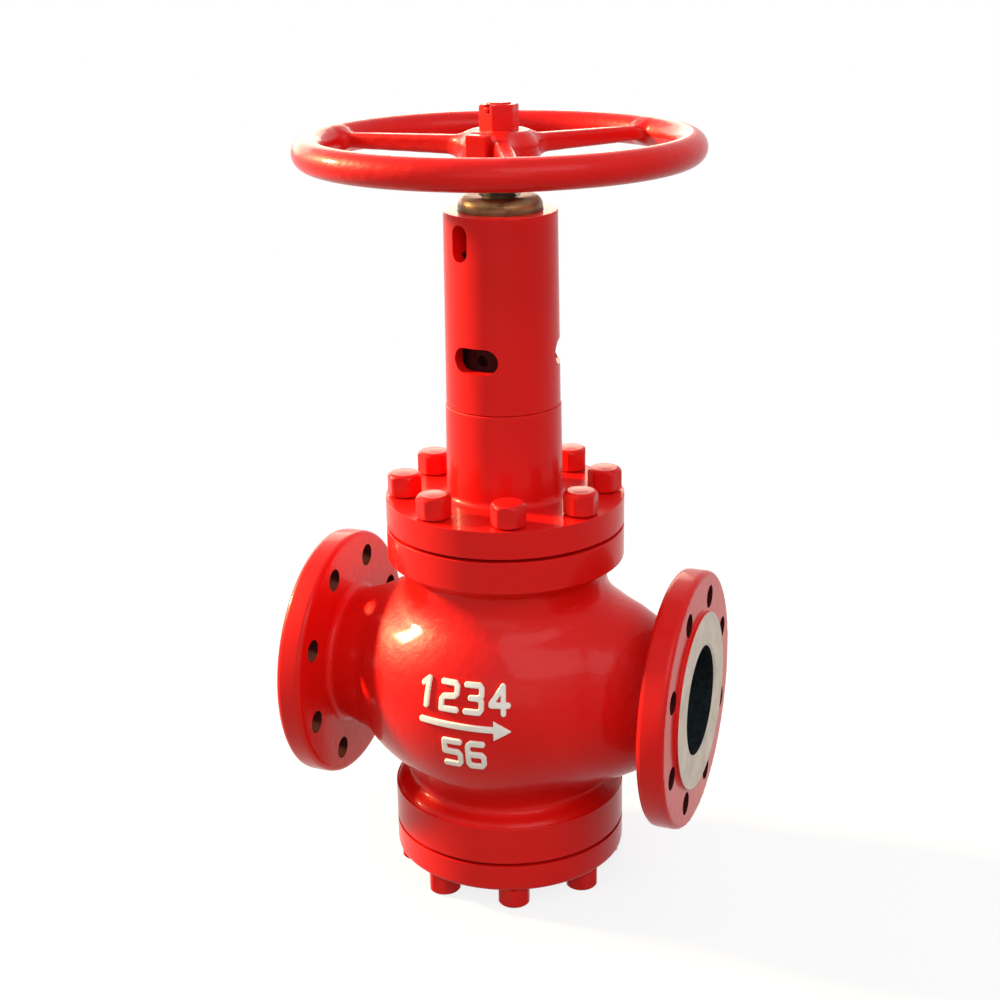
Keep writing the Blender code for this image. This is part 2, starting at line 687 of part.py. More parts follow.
def make_seats():
    """Two flanged seat rings, each let into a hole of the partition from above."""
    for name, seat_r, top, through in (
        ("upper_seat_ring", UPPER_SEAT_R, UPPER_SEAT_TOP, UPPER_BRIDGE_TOP - BRIDGE_T),
        ("lower_seat_ring", LOWER_SEAT_R, LOWER_SEAT_TOP, LOWER_BRIDGE_TOP - BRIDGE_T),
    ):
        wall_r = seat_r + SEAT_RING_WALL
        flange_r = wall_r + SEAT_FLANGE_EXTRA
        under = top - SEAT_FLANGE_T
        profile = [(flange_r, top), (flange_r, under), (wall_r, under), (wall_r, through)]
        profile += [(seat_r, through), (seat_r, top - SEAT_CHAMFER)]
        profile += [(seat_r + SEAT_CHAMFER, top)]
        finish(turned(name, profile, MEDIUM, closed=True), TURNED_STEEL)


def disc_profile(seat_r, seat_top, steps=4):
    """A disc's rim, its seat cone and the contoured skirt that throttles the flow below it."""
    rim_r = seat_r + DISC_OVERLAP
    throat = seat_r - SEAT
    lift = math.sqrt(2) * SEAT - SEAT_CHAMFER
    start = seat_top + lift - SEAT
    points = [(rim_r, seat_top + DISC_T), (rim_r, seat_top + lift + DISC_OVERLAP)]
    points.append((throat, start))
    for i in range(1, steps + 1):
        share = i / steps
        r = throat - (throat - PLUG_WAIST_R) * share**2
        points.append((r, start - PLUG_SKIRT * share))
    return points


def make_plug():
    """The throttle plug, its retaining ring and the thrust washer under the stem's head."""
    bore_r = STEM_HEAD_R + SEAT
    floor = HEAD_BOTTOM - SEAT - THRUST_WASHER_T - SEAT
    upper = disc_profile(UPPER_SEAT_R, UPPER_SEAT_TOP)
    lower = disc_profile(LOWER_SEAT_R, LOWER_SEAT_TOP)
    lead = PLUG_FILLET
    profile = [(0, floor), (bore_r, floor), (bore_r, POST_TOP)]
    profile += [(PLUG_POST_R - EDGE, POST_TOP), (PLUG_POST_R, POST_TOP - EDGE)]
    profile += [(PLUG_POST_R, upper[0][1] + lead), (PLUG_POST_R + lead, upper[0][1])]
    profile += upper
    profile += [(PLUG_WAIST_R, lower[0][1] + lead), (PLUG_WAIST_R + lead, lower[0][1])]
    profile += lower
    profile += [(LOWER_POST_R, lower[-1][1] - lead), (LOWER_POST_R, POST_END + EDGE)]
    profile += [(LOWER_POST_R - EDGE, POST_END), (0, POST_END)]
    finish(turned("throttle_plug", profile, MEDIUM), TURNED_STEEL)

    washer_bottom = floor + SEAT
    washer = ring(
        "stem_thrust_washer", STEM_BORE_R / 2, STEM_HEAD_R, washer_bottom, HEAD_BOTTOM - SEAT, COARSE
    )
    finish(washer, BRONZE)
    bottom = HEAD_BOTTOM + STEM_HEAD_T + SEAT
    retainer = ring(
        "plug_retaining_ring", STEM_BORE_R, bore_r - SEAT, bottom, bottom + RETAINER_T, COARSE
    )
    finish(retainer, TURNED_STEEL)


def make_stem():
    """The stem: button head, round shank, squared length for the hub and a threaded end."""
    square_bottom = HUB_BOTTOM - SEAT
    square_top = HUB_TOP - EDGE
    end = WHEEL_NUT_TOP + EDGE
    profile = [(0, end), (STEM_THREAD_R - EDGE, end), (STEM_THREAD_R, end - EDGE)]
    profile += [(STEM_THREAD_R, square_bottom), (STEM_R, square_bottom)]
    profile += [(STEM_R, HEAD_BOTTOM + STEM_HEAD_T), (STEM_HEAD_R, HEAD_BOTTOM + STEM_HEAD_T)]
    profile += [(STEM_HEAD_R, HEAD_BOTTOM), (0, HEAD_BOTTOM)]
    stem = turned("stem", profile, COARSE)
    root = square_bottom - STEM_THREAD_R
    turn = Matrix.Rotation(math.radians(LOCK_AZIMUTH_DEG), 4, "Z")
    move = Matrix.Translation((0, 0, (root + square_top) / 2))
    size = (STEM_SQUARE, STEM_SQUARE, square_top - root)
    boolean(stem, "UNION", box("square_length", size, move @ turn))

    slot_middle = WHEEL_NUT_TOP - WHEEL_NUT_SLOT_DEPTH / 2
    drill = rod_mesh("pin_hole", PIN_R + SEAT, 4 * STEM_THREAD_R, steps=10)
    places = [radial(WHEEL_NUT_AZIMUTH_DEG, -2 * STEM_THREAD_R, slot_middle)]
    boolean(stem, "DIFFERENCE", copies("pin_hole", drill, places, HELPERS))
    finish(stem, TURNED_STEEL)


def make_yoke():
    """The tubular yoke, with windows to the packing nut, two slots and a ledge for the stem nut."""
    ledge_top = YOKE_TOP - LEDGE_DEPTH
    ledge_bottom = ledge_top - LEDGE_T
    nut_bore = STEM_NUT_R + SEAT
    tail_bore = STEM_NUT_BODY_R + SEAT
    bottom = YOKE_BOTTOM
    profile = [(YOKE_R_TOP - EDGE, YOKE_TOP), (YOKE_R_TOP, YOKE_TOP - EDGE)]
    profile += [(YOKE_R_BOTTOM, bottom + GROOVE_DEPTH), (YOKE_R_BOTTOM - GROOVE_DEPTH, bottom)]
    profile += [(YOKE_BORE_R, bottom), (YOKE_BORE_R, ledge_bottom)]
    profile += [(tail_bore, ledge_bottom), (tail_bore, ledge_top)]
    profile += [(nut_bore, ledge_top), (nut_bore, YOKE_TOP)]
    yoke = turned("yoke_tube", profile, closed=True)

    reach = 2 * YOKE_WALL
    start = YOKE_R_BOTTOM + EDGE - reach
    middle = bottom + WINDOW_LOW + WINDOW_H / 2
    window = obround("window", WINDOW_WIDTH, WINDOW_H, reach)
    places = [radial(a, start, middle) for a in spaced(WINDOW_COUNT, WINDOW_AZIMUTH_DEG)]
    boolean(yoke, "DIFFERENCE", copies("windows", window, places, HELPERS))
    middle = YOKE_TOP - SLOT_BELOW_TOP - SLOT_H / 2
    slot = obround("slot", SLOT_WIDTH, SLOT_H, YOKE_R_BOTTOM)
    places = [radial(a, STEM_NUT_BODY_R / 2, middle) for a in spaced(2, SLOT_AZIMUTH_DEG)]
    boolean(yoke, "DIFFERENCE", copies("slots", slot, places, HELPERS))

    screw_z = YOKE_TOP - LEDGE_DEPTH / 2
    drill = rod_mesh("grub_hole", GRUB_R + SEAT, 2 * YOKE_WALL, steps=10)
    places = [radial(GRUB_AZIMUTH_DEG + 90, nut_bore - EDGE, screw_z)]
    boolean(yoke, "DIFFERENCE", copies("grub_hole", drill, places, HELPERS))
    finish(yoke, RED_PAINT)
    grub = rod_mesh("grub", GRUB_R, YOKE_R_TOP - nut_bore - EDGE, steps=10)
    places = [radial(GRUB_AZIMUTH_DEG + 90, nut_bore, screw_z)]
    finish(copies("stem_nut_grub_screw", grub, places), TURNED_STEEL)


def make_stem_nut():
    """The bronze stem nut: a round collar on the yoke with a rounded shoulder, and a tail."""
    seat = YOKE_TOP - LEDGE_DEPTH + SEAT
    top = YOKE_TOP + STEM_NUT_PROUD
    tail = YOKE_TOP - LEDGE_DEPTH - LEDGE_T - STEM_NUT_TAIL
    profile = [(STEM_BORE_R + EDGE, top)]
    profile += arc(
        STEM_NUT_R - STEM_NUT_ROUNDING, top - STEM_NUT_ROUNDING, STEM_NUT_ROUNDING, 90, 0, 4
    )
    profile += [(STEM_NUT_R, seat), (STEM_NUT_BODY_R, seat), (STEM_NUT_BODY_R, tail)]
    profile += [(STEM_BORE_R, tail), (STEM_BORE_R, top - EDGE)]
    finish(turned("stem_nut", profile, MEDIUM, closed=True), BRONZE)


def make_handwheel():
    """The cast handwheel: round rim, three tapering oval spokes and a hub with a square hole."""
    bottom = -HUB_BELOW_RIM
    top = HUB_ABOVE_RIM
    profile = [(0, top), (HUB_TOP_R, top)]
    profile += [(HUB_R, top - HUB_SHOULDER), (HUB_R, bottom + HUB_SHOULDER)]
    profile += [(HUB_BOTTOM_R, bottom), (0, bottom)]
    wheel = turned("handwheel", profile, MEDIUM, z=WHEEL_Z)

    bpy.ops.mesh.primitive_torus_add(
        major_segments=RIM_STEPS,
        minor_segments=RIM_SECTION_STEPS,
        major_radius=WHEEL_R - RIM_R,
        minor_radius=RIM_R,
        location=(0, 0, WHEEL_Z),
    )
    rim = bpy.context.active_object
    rim.name = "rim"
    for home in list(rim.users_collection):
        home.objects.unlink(rim)
    place(rim, HELPERS)

    start = HUB_R / 2
    length = WHEEL_R - RIM_R - start
    spokes = bmesh.new()
    for azimuth in spaced(SPOKE_COUNT, SPOKE_AZIMUTH_DEG):
        one = bmesh.new()
        bmesh.ops.create_cone(
            one, cap_ends=True, segments=SMALL, radius1=0.5, radius2=0.5, depth=1
        )
        for v in one.verts:
            outer = v.co.z > 0
            v.co.x *= SPOKE_H_RIM if outer else SPOKE_H_HUB
            v.co.y *= SPOKE_W_RIM if outer else SPOKE_W_HUB
            v.co.x -= 0 if outer else SPOKE_RISE
            v.co.z = length if outer else 0
        mesh = bpy.data.meshes.new("one_spoke")
        one.to_mesh(mesh)
        one.free()
        mesh.transform(radial(azimuth, start, WHEEL_Z))
        spokes.from_mesh(mesh)
        bpy.data.meshes.remove(mesh)
    mesh = bpy.data.meshes.new("spokes")
    spokes.to_mesh(mesh)
    spokes.free()
    boolean(wheel, "UNION", place(bpy.data.objects.new("spokes", mesh), HELPERS))
    boolean(wheel, "UNION", rim)

    side = STEM_SQUARE + 2 * SEAT
    turn = Matrix.Rotation(math.radians(LOCK_AZIMUTH_DEG), 4, "Z")
    hole = box("square_hole", (side, side, 4 * HUB_R), Matrix.Translation((0, 0, WHEEL_Z)) @ turn)
    boolean(wheel, "DIFFERENCE", hole)

    lock_z = WHEEL_Z - LOCK_BELOW_RIM
    drill = rod_mesh("lock_hole", LOCK_SHANK_R + SEAT, HUB_R)
    places = [radial(LOCK_AZIMUTH_DEG, STEM_SQUARE / 4, lock_z)]
    boolean(wheel, "DIFFERENCE", copies("lock_hole", drill, places, HELPERS))
    flat = LOCK_HEAD + 2 * SEAT
    spot = radial(LOCK_AZIMUTH_DEG, LOCK_SEAT_R + LOCK_HEAD_T / 2, lock_z)
    boolean(wheel, "DIFFERENCE", box("lock_flat", (flat, flat, LOCK_HEAD_T), spot))
    finish(wheel, RED_PAINT)


def make_lock_screw():
    """The square-headed screw that locks the hub on a flat of the stem."""
    lock_z = WHEEL_Z - LOCK_BELOW_RIM
    tip = STEM_SQUARE / 2 + SEAT
    head = LOCK_SEAT_R + SEAT
    shank = rod_mesh("lock_shank", LOCK_SHANK_R, head - tip + LOCK_HEAD_T / 2)
    screw = copies("hub_lock_screw", shank, [radial(LOCK_AZIMUTH_DEG, tip, lock_z)])
    block = bmesh.new()
    size = Matrix.Diagonal((LOCK_HEAD, LOCK_HEAD, LOCK_HEAD_T, 1))
    bmesh.ops.create_cube(block, size=1, matrix=size)
    outer = [e for e in block.edges if all(v.co.z > 0 for v in e.verts)]
    bmesh.ops.bevel(block, geom=outer, offset=EDGE, segments=1, affect="EDGES", profile=0.5)
    mesh = bpy.data.meshes.new("lock_head")
    block.to_mesh(mesh)
    block.free()
    mesh.transform(radial(LOCK_AZIMUTH_DEG, head + LOCK_HEAD_T / 2, lock_z))
    boolean(screw, "UNION", place(bpy.data.objects.new("lock_head", mesh), HELPERS))
    finish(screw, RED_PAINT)


def make_wheel_nut():
    """The slotted nut and split pin that hold the wheel on the stem's threaded end."""
    bore_r = STEM_THREAD_R + SEAT
    blank = hex_nut("wheel_nut_body", WHEEL_NUT_FLATS, WHEEL_NUT_H, bore_r, COARSE)
    turn = Matrix.Rotation(math.radians(WHEEL_NUT_AZIMUTH_DEG), 4, "Z")
    move = Matrix.Translation((0, 0, WHEEL_NUT_BOTTOM))
    nut = copies("wheel_nut", baked(blank), [move @ turn])
    bars = bmesh.new()
    for azimuth in spaced(3, WHEEL_NUT_AZIMUTH_DEG):
        spin = Matrix.Rotation(math.radians(azimuth), 4, "Z")
        lift = Matrix.Translation((0, 0, WHEEL_NUT_TOP))
        size = (2 * WHEEL_NUT_FLATS, WHEEL_NUT_SLOT_W, 2 * WHEEL_NUT_SLOT_DEPTH, 1)
        bmesh.ops.create_cube(bars, size=1, matrix=lift @ spin @ Matrix.Diagonal(size))
    mesh = bpy.data.meshes.new("nut_slots")
    bars.to_mesh(mesh)
    bars.free()
    slots = place(bpy.data.objects.new("nut_slots", mesh), HELPERS)
    boolean(nut, "DIFFERENCE", slots)
    finish(nut, RED_PAINT)

    z = WHEEL_NUT_TOP - WHEEL_NUT_SLOT_DEPTH / 2
    reach = WHEEL_NUT_FLATS / 2 + 2 * PIN_R
    route = [(-reach, 0), (reach - PIN_R, 0), (reach, -PIN_R), (reach, -PIN_BEND)]
    curve = bpy.data.curves.new("wheel_nut_pin", "CURVE")
    curve.dimensions = "3D"
    curve.bevel_depth = PIN_R
    curve.bevel_resolution = 2
    curve.use_fill_caps = True
    spline = curve.splines.new("POLY")
    spline.points.add(len(route) - 1)
    turn = Matrix.Rotation(math.radians(WHEEL_NUT_AZIMUTH_DEG), 4, "Z")
    for point, (x, drop) in zip(spline.points, route):
        point.co = (*(turn @ Vector((x, 0, z + drop))), 1)
    pin = place(bpy.data.objects.new("wheel_nut_pin", curve), PARTS)
    curve.materials.append(TURNED_STEEL)
    return pin


make_body()
make_studs_and_nuts()
make_bonnet()
make_packing()
make_gaskets()
make_cover()
make_seats()
make_plug()
make_stem()
make_yoke()
make_stem_nut()
make_handwheel()
make_lock_screw()
make_wheel_nut()
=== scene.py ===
# %% [markdown]
# # A cast globe valve, dressed for its portrait
# The CAD model gives every piece of the valve its true place. This file gives the pieces that are
# seen their fine shape and their finish. It loads the imported model first and reads heights from
# the boxes of its pieces.

import math

import bmesh
import bpy
import numpy as np
from mathutils import Matrix, Vector


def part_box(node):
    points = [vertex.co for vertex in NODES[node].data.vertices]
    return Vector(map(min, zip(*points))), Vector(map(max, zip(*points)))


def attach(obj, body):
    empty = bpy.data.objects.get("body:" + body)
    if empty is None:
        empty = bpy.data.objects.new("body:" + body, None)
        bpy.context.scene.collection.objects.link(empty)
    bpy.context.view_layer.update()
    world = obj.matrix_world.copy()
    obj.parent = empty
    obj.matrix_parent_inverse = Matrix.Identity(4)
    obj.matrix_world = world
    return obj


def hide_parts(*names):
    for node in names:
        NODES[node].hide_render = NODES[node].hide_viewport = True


MM = 0.001
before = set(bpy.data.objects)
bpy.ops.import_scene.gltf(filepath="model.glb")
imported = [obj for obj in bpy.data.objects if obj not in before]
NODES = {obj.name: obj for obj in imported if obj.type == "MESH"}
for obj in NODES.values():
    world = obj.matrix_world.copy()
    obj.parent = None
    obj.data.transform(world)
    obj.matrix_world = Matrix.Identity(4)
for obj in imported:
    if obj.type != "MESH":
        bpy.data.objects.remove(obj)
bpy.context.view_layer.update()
scene = bpy.context.scene
print("pieces in the frame:", len(NODES))

# %% [markdown]
# ## Heights and radii
# The valve is a stack, so nearly every height follows from a few pieces. A node's box gives them,
# which keeps this file in step with the CAD model. The wheel's hub stands a little above its rim.

# %% Heights of the stack
PIPE_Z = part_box("valve_body")[0].z + 119.8 * MM
COVER_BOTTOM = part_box("bottom_cover")[0].z
COVER_TOP = COVER_BOTTOM + 21.9 * MM
BONNET_BOTTOM = PIPE_Z + 131.4 * MM
BONNET_TOP = BONNET_BOTTOM + 22 * MM
YOKE_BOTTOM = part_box("yoke_tube")[0].z
YOKE_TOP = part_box("yoke_tube")[1].z
STEM_NUT_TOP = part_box("stem_nut")[1].z
HUB_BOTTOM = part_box("handwheel")[0].z
HUB_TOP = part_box("handwheel")[1].z + 1.2 * MM
WHEEL_Z = HUB_BOTTOM + 23 * MM
print("pipe axis", round(PIPE_Z, 4), "wheel plane", round(WHEEL_Z, 4))

# %% [markdown]
# ## The camera
# A photograph fixes its own camera: the round flanges look like ovals, and how flat each oval is
# says how steeply the camera looks down on it. These numbers come from fitting sixty such points.

# %% Camera
AZIMUTH, PAN, TILT, ROLL = (math.radians(a) for a in (20.836, -0.18, 18.908, -0.988))
FOCAL_PIXELS, PICTURE_PIXELS, SENSOR_WIDTH = 1725.48, 1000, 36
STAND = (0.4488, -1.1792, 0.7407)


def new_object(name, data):
    made = bpy.data.objects.new(name, data)
    scene.collection.objects.link(made)
    return made


look = Vector((-math.sin(AZIMUTH), math.cos(AZIMUTH), 0))
right = Vector((math.cos(AZIMUTH), math.sin(AZIMUTH), 0))
up = Vector((0, 0, 1))
look, right = look * math.cos(PAN) + right * math.sin(PAN), right * math.cos(PAN) - look * math.sin(PAN)
look, up = look * math.cos(TILT) - up * math.sin(TILT), up * math.cos(TILT) + look * math.sin(TILT)
right, up = right * math.cos(ROLL) + up * math.sin(ROLL), up * math.cos(ROLL) - right * math.sin(ROLL)
camera_data = bpy.data.cameras.new("photo_camera")
camera_data.lens = FOCAL_PIXELS * SENSOR_WIDTH / PICTURE_PIXELS
camera_data.sensor_width = SENSOR_WIDTH
camera_data.clip_end = 20
camera = new_object("photo_camera", camera_data)
turn = Matrix((right, up, -look)).transposed().to_4x4()
camera.matrix_world = Matrix.Translation(STAND) @ turn
scene.camera = camera
scene.view_settings.view_transform = "Standard"
print("lens", round(camera_data.lens, 2), "mm")

# %% [markdown]
# ## Sums that become nodes
# A shader's pattern is arithmetic on numbers that change over a surface. Wiring it by hand hides
# the sum, so a small class wraps a socket: adding or multiplying it adds the Math node for that.
# The same class serves for Geometry Nodes, because they use the same Math node.


# %% A socket that does sums
class Value:
    def __init__(self, sheet, socket):
        self.sheet = sheet
        self.socket = socket

    def math(self, operation, *others, clamp=False):
        settings = {"operation": operation, "use_clamp": clamp}
        return self.sheet.node("ShaderNodeMath", settings, {0: self, **dict(enumerate(others, 1))})

    def __add__(self, other):
        return self.math("ADD", other)

    __radd__ = __add__

    def __sub__(self, other):
        return self.math("SUBTRACT", other)

    def __rsub__(self, other):
        return self.sheet.node("ShaderNodeMath", {"operation": "SUBTRACT"}, {0: other, 1: self})

    def __mul__(self, other):
        return self.math("MULTIPLY", other)

    __rmul__ = __mul__

    def __truediv__(self, other):
        return self.math("DIVIDE", other)

    def clamped(self):
        return self.math("ADD", 0.0, clamp=True)

    def part(self, name):
        """Another output of the same node."""
        return Value(self.sheet, self.socket.node.outputs[name])


class Sheet:
    """A node tree that is being written."""

    def __init__(self, tree):
        self.tree = tree

    def node(self, kind, settings=None, values=None, output=0):
        """Adds a node and returns one of its outputs, or the node itself where output is None."""
        made = self.tree.nodes.new(kind)
        for name, value in (settings or {}).items():
            setattr(made, name, value)
        for name, value in (values or {}).items():
            socket = made.inputs[name]
            if isinstance(value, Value):
                self.tree.links.new(value.socket, socket)
            elif value is not None:
                socket.default_value = value
        return made if output is None else Value(self, made.outputs[output])


print("sums become nodes")

# %% [markdown]
# ## Patterns that several finishes share
# Sand casting leaves a skin of soft lumps, a lathe leaves rings, and paint covers both with a
# slight orange peel. Each is a height that a Bump node turns into shading.


# %% Shared patterns
class Finish(Sheet):
    def __init__(self, name, **shader):
        self.material = bpy.data.materials.new(name)
        self.material.use_nodes = True
        super().__init__(self.material.node_tree)
        self.tree.nodes.clear()
        self.place = self.node("ShaderNodeTexCoord", output="Object")
        bsdf = self.node("ShaderNodeBsdfPrincipled", {}, shader)
        self.bsdf = bsdf.socket.node
        self.node("ShaderNodeOutputMaterial", {}, {"Surface": bsdf}, output=None)

    def noise(self, per_metre, detail=2.0, roughness=0.5):
        values = {"Vector": self.place, "Scale": per_metre, "Detail": detail, "Roughness": roughness}
        return self.node("ShaderNodeTexNoise", {}, values)

    def colour(self, share, low, high):
        # Sockets 6 and 7 of a Mix node are its two colours.
        settings = {"data_type": "RGBA", "blend_type": "MIX"}
        low, high = ((*c, 1) if isinstance(c, tuple) else c for c in (low, high))
        return self.node("ShaderNodeMix", settings, {0: share, 6: low, 7: high}, output=2)

    def bump(self, height, distance, strength=1.0, under=None):
        values = {"Height": height, "Distance": distance, "Strength": strength, "Normal": under}
        return self.node("ShaderNodeBump", {}, values)

    def feed(self, **links):
        for name, value in links.items():
            self.tree.links.new(value.socket, self.bsdf.inputs[name.replace("_", " ")])
        return self.material


print("patterns ready")

# %% [markdown]
# ## Red enamel
# The valve is sprayed a deep glossy red all over. On the castings the sand shows through the film,
# on the turned rims it lies flat. One function makes both, and only the lumps differ.


# %% Red enamel
def red_enamel(name, lump_height, lumps_per_metre):
    gloss = {"Specular IOR Level": 0.14, "Coat Roughness": 0.1, "Coat IOR": 1.19}
    paint = Finish(name, Metallic=0.0, IOR=1.5, **gloss)
    broad = paint.noise(14, 3)
    fine = paint.noise(420, 2)
    lumps = paint.noise(lumps_per_metre, 4, 0.55)
    peel = paint.noise(900, 1)
    colour = paint.colour(broad.clamped(), (0.60, 0.0035, 0.0025), (0.74, 0.0060, 0.0035))
    dust = ((lumps - 0.62) * 4).clamped()
    colour = paint.colour(dust * 0.25, colour, (0.66, 0.018, 0.009))
    rough = 0.34 + broad * 0.14 + fine * 0.05
    relief = paint.bump(lumps, lump_height)
    film = paint.bump(peel, 0.05 * MM, 0.6, relief)
    coat = 0.35 + broad * 0.4
    return paint.feed(Base_Color=colour, Roughness=rough, Normal=film, Coat_Weight=coat)


CAST_RED = red_enamel("red_paint_cast", 0.55 * MM, 120)
TURNED_RED = red_enamel("red_paint_turned", 0.12 * MM, 60)
print("enamel:", CAST_RED.name, TURNED_RED.name)

# %% [markdown]
# ## Bare metals
# The raised faces of the pipe flanges stay bare, with the fine spiral that the facing tool leaves
# and a grey bloom of storage rust. Bronze is darker in scattered stains.


# %% Metals
def rings(finish, per_metre, axis):
    """Lathe rings: distance from an axis, read as a wave."""
    mask = {"X": (0, 1, 1), "Z": (1, 1, 0)}[axis]
    at = finish.node("ShaderNodeVectorMath", {"operation": "MULTIPLY"}, {0: finish.place, 1: mask})
    centre = (0, 0, PIPE_Z) if axis == "X" else (0, 0, 0)
    at = finish.node("ShaderNodeVectorMath", {"operation": "SUBTRACT"}, {0: at, 1: centre})
    radius = finish.node("ShaderNodeVectorMath", {"operation": "LENGTH"}, {0: at}, "Value")
    return (radius * per_metre * 2 * math.pi).math("SINE") * 0.5 + 0.5


def bare_metal(name, low, high, rough, axis, per_metre, depth, metallic=1.0):
    metal = Finish(name, Metallic=metallic)
    stain = metal.noise(45, 5, 0.62)
    grain = metal.noise(700, 2)
    colour = metal.colour(((stain - 0.32) * 2.4).clamped(), low, high)
    roughness = rough + stain * 0.16 + grain * 0.06
    groove = metal.bump(rings(metal, per_metre, axis), depth, 0.8)
    normal = metal.bump(grain, 0.03 * MM, 0.5, groove)
    return metal.feed(Base_Color=colour, Roughness=roughness, Normal=normal)


FACED_STEEL = bare_metal(
    "faced_steel", (0.46, 0.38, 0.31), (0.68, 0.58, 0.49), 0.40, "X", 900, 0.15 * MM, 0.55
)
STEEL = bare_metal("steel", (0.20, 0.19, 0.18), (0.42, 0.40, 0.37), 0.30, "Z", 700, 0.06 * MM)
BRONZE = bare_metal("bronze", (0.09, 0.038, 0.017), (0.27, 0.150, 0.075), 0.24, "Z", 800, 0.06 * MM)
print("metals:", FACED_STEEL.name, STEEL.name, BRONZE.name)


# %% Bore and hole walls darkened as painted shade, packing and markings
def plain_skin(name, low, high, rough, per_metre, height, metallic=0.0, shine=0.5):
    skin_look = Finish(name, Metallic=metallic, **{"Specular IOR Level": shine})
    spots = skin_look.noise(per_metre, 5, 0.6)
    colour = skin_look.colour(((spots - 0.3) * 2.2).clamped(), low, high)
    roughness = rough + spots * 0.2
    normal = skin_look.bump(spots, height)
    return skin_look.feed(Base_Color=colour, Roughness=roughness, Normal=normal)


# Bare casting made near-black: the shade inside the bore and the body is painted into its colour.
BARE_CASTING_PAINTED_SHADE = plain_skin(
    "bare_casting", (0.003, 0.006, 0.007), (0.016, 0.022, 0.024), 0.55, 160, 0.5 * MM, shine=0.08
)
# Dark red for bolt-hole walls and the packing nut: red paint darkened as painted shade.
PAINTED_SHADE_RED = plain_skin(
    "dull_red", (0.020, 0.002, 0.002), (0.07, 0.006, 0.005), 0.6, 200, 0.2 * MM, shine=0.1
)
GREASED_STEEL = plain_skin(
    "greased_thread", (0.020, 0.015, 0.010), (0.10, 0.08, 0.06), 0.28, 260, 0.1 * MM, 0.8
)
GRAPHITE = plain_skin("graphite_packing", (0.015, 0.015, 0.017), (0.05, 0.05, 0.055), 0.5, 300, 0.1 * MM)
CREAM = plain_skin("cream_marking", (0.78, 0.70, 0.62), (0.86, 0.80, 0.74), 0.32, 220, 0.15 * MM)
print("dark and pale skins ready")

# %% [markdown]
# ## Cast shapes from a distance
# Where two forms of a casting meet, the sand leaves a round fillet, wide or small. Describing the
# solid by its distance from each point makes that easy, because two distances can be joined with a
# round of any radius. A grid finds where the distance is zero, and each corner of the mesh then
# slides on to the exact surface.


# %% Distance helpers
def blend(a, b, radius):
    """Joins two solids with a round fillet of that radius."""
    u = np.maximum(radius - a, 0)
    v = np.maximum(radius - b, 0)
    return np.maximum(radius, np.minimum(a, b)) - np.hypot(u, v)


def shave(a, b, radius):
    """What two solids share, with its outer edge rounded."""
    return -blend(-a, -b, radius)


def crossings(values, axis):
    first = [slice(None)] * 3
    second = [slice(None)] * 3
    first[axis] = slice(None, -1)
    second[axis] = slice(1, None)
    a = values[tuple(first)]
    b = values[tuple(second)]
    cut = (a < 0) != (b < 0)
    share = np.where(cut, a / np.where(cut, a - b, 1), 0)
    return cut, share, a < 0


def skin(distance, low, high, cell, rounds=5):
    """Corners and four-sided faces of the surface where distance(x, y, z) is zero."""
    axes = [np.arange(a, b + cell, cell) for a, b in zip(low, high)]
    grid = np.meshgrid(*axes, indexing="ij")
    values = distance(*grid)
    shape = tuple(n - 1 for n in values.shape)
    total = np.zeros(shape + (3,))
    count = np.zeros(shape)
    edges = []
    for axis in range(3):
        cut, share, inside = crossings(values, axis)
        others = [a for a in range(3) if a != axis]
        index = np.argwhere(cut)
        spot = index.astype(float)
        spot[:, axis] += share[cut]
        around = []
        for step in ((0, 0), (1, 0), (1, 1), (0, 1)):
            at = index.copy()
            at[:, others[0]] -= step[0]
            at[:, others[1]] -= step[1]
            around.append(at)
            ok = ((at >= 0) & (at < shape)).all(1)
            np.add.at(total, tuple(at[ok].T), spot[ok])
            np.add.at(count, tuple(at[ok].T), 1)
        flip = inside[cut] ^ (axis == 1)
        edges.append((np.stack(around, 1), flip))
    used = count > 0
    number = -np.ones(shape, int)
    number[used] = np.arange(used.sum())
    points = total[used] / count[used][:, None] * cell + np.array(low)
    faces = []
    for around, flip in edges:
        ok = ((around >= 0) & (around < shape)).all((1, 2))
        quad = number[tuple(around[ok].transpose(2, 0, 1))]
        quad[~flip[ok]] = quad[~flip[ok]][:, ::-1]
        faces.append(quad)
    step = 0.02 * cell
    for _ in range(rounds):
        here = distance(*points.T)
        slope = np.stack(
            [(distance(*(points + step * np.eye(3)[a]).T) - here) / step for a in range(3)], 1
        )
        size = np.maximum((slope**2).sum(1), 0.05)
        move = -here[:, None] * slope / size[:, None]
        points += np.clip(move, -cell / 2, cell / 2)
    return points, np.concatenate(faces)


def mesh_object(name, points, faces):
    mesh = bpy.data.meshes.new(name)
    mesh.from_pydata(points.tolist(), [], faces.tolist())
    mesh.update()
    return new_object(name, mesh)


print("distance helpers ready")

# %% [markdown]
# ## Turned shapes and cuts
# Rims, bores and nuts come off a lathe, so half a section spun round the axis gives them. Cuts are
# made with the quick manifold solver, which needs closed shapes on both sides.


# %% Turned shapes
FINE = 160


def arc(centre, radius, start, end, steps=5):
    angles = [math.radians(start + (end - start) * i / steps) for i in range(steps + 1)]
    return [(centre[0] + radius * math.cos(a), centre[1] + radius * math.sin(a)) for a in angles]


def eased(corners, radius, steps=3):
    """A section with rounded corners; a corner's third number is a radius of its own."""
    points = [Vector(c[:2]) for c in corners]
    made = []
    for i, corner in enumerate(points):
        before = points[i - 1] - corner
        after = points[(i + 1) % len(points)] - corner
        own = corners[i][2] if len(corners[i]) > 2 else radius
        reach = min(own, before.length / 3, after.length / 3)
        if corner.x < 1e-6 or reach < 1e-6:
            made.append(tuple(corner))
            continue
        start = corner + before.normalized() * reach
        end = corner + after.normalized() * reach
        for k in range(steps + 1):
            t = k / steps
            made.append(tuple(start * (1 - t) ** 2 + corner * 2 * t * (1 - t) + end * t * t))
    return made


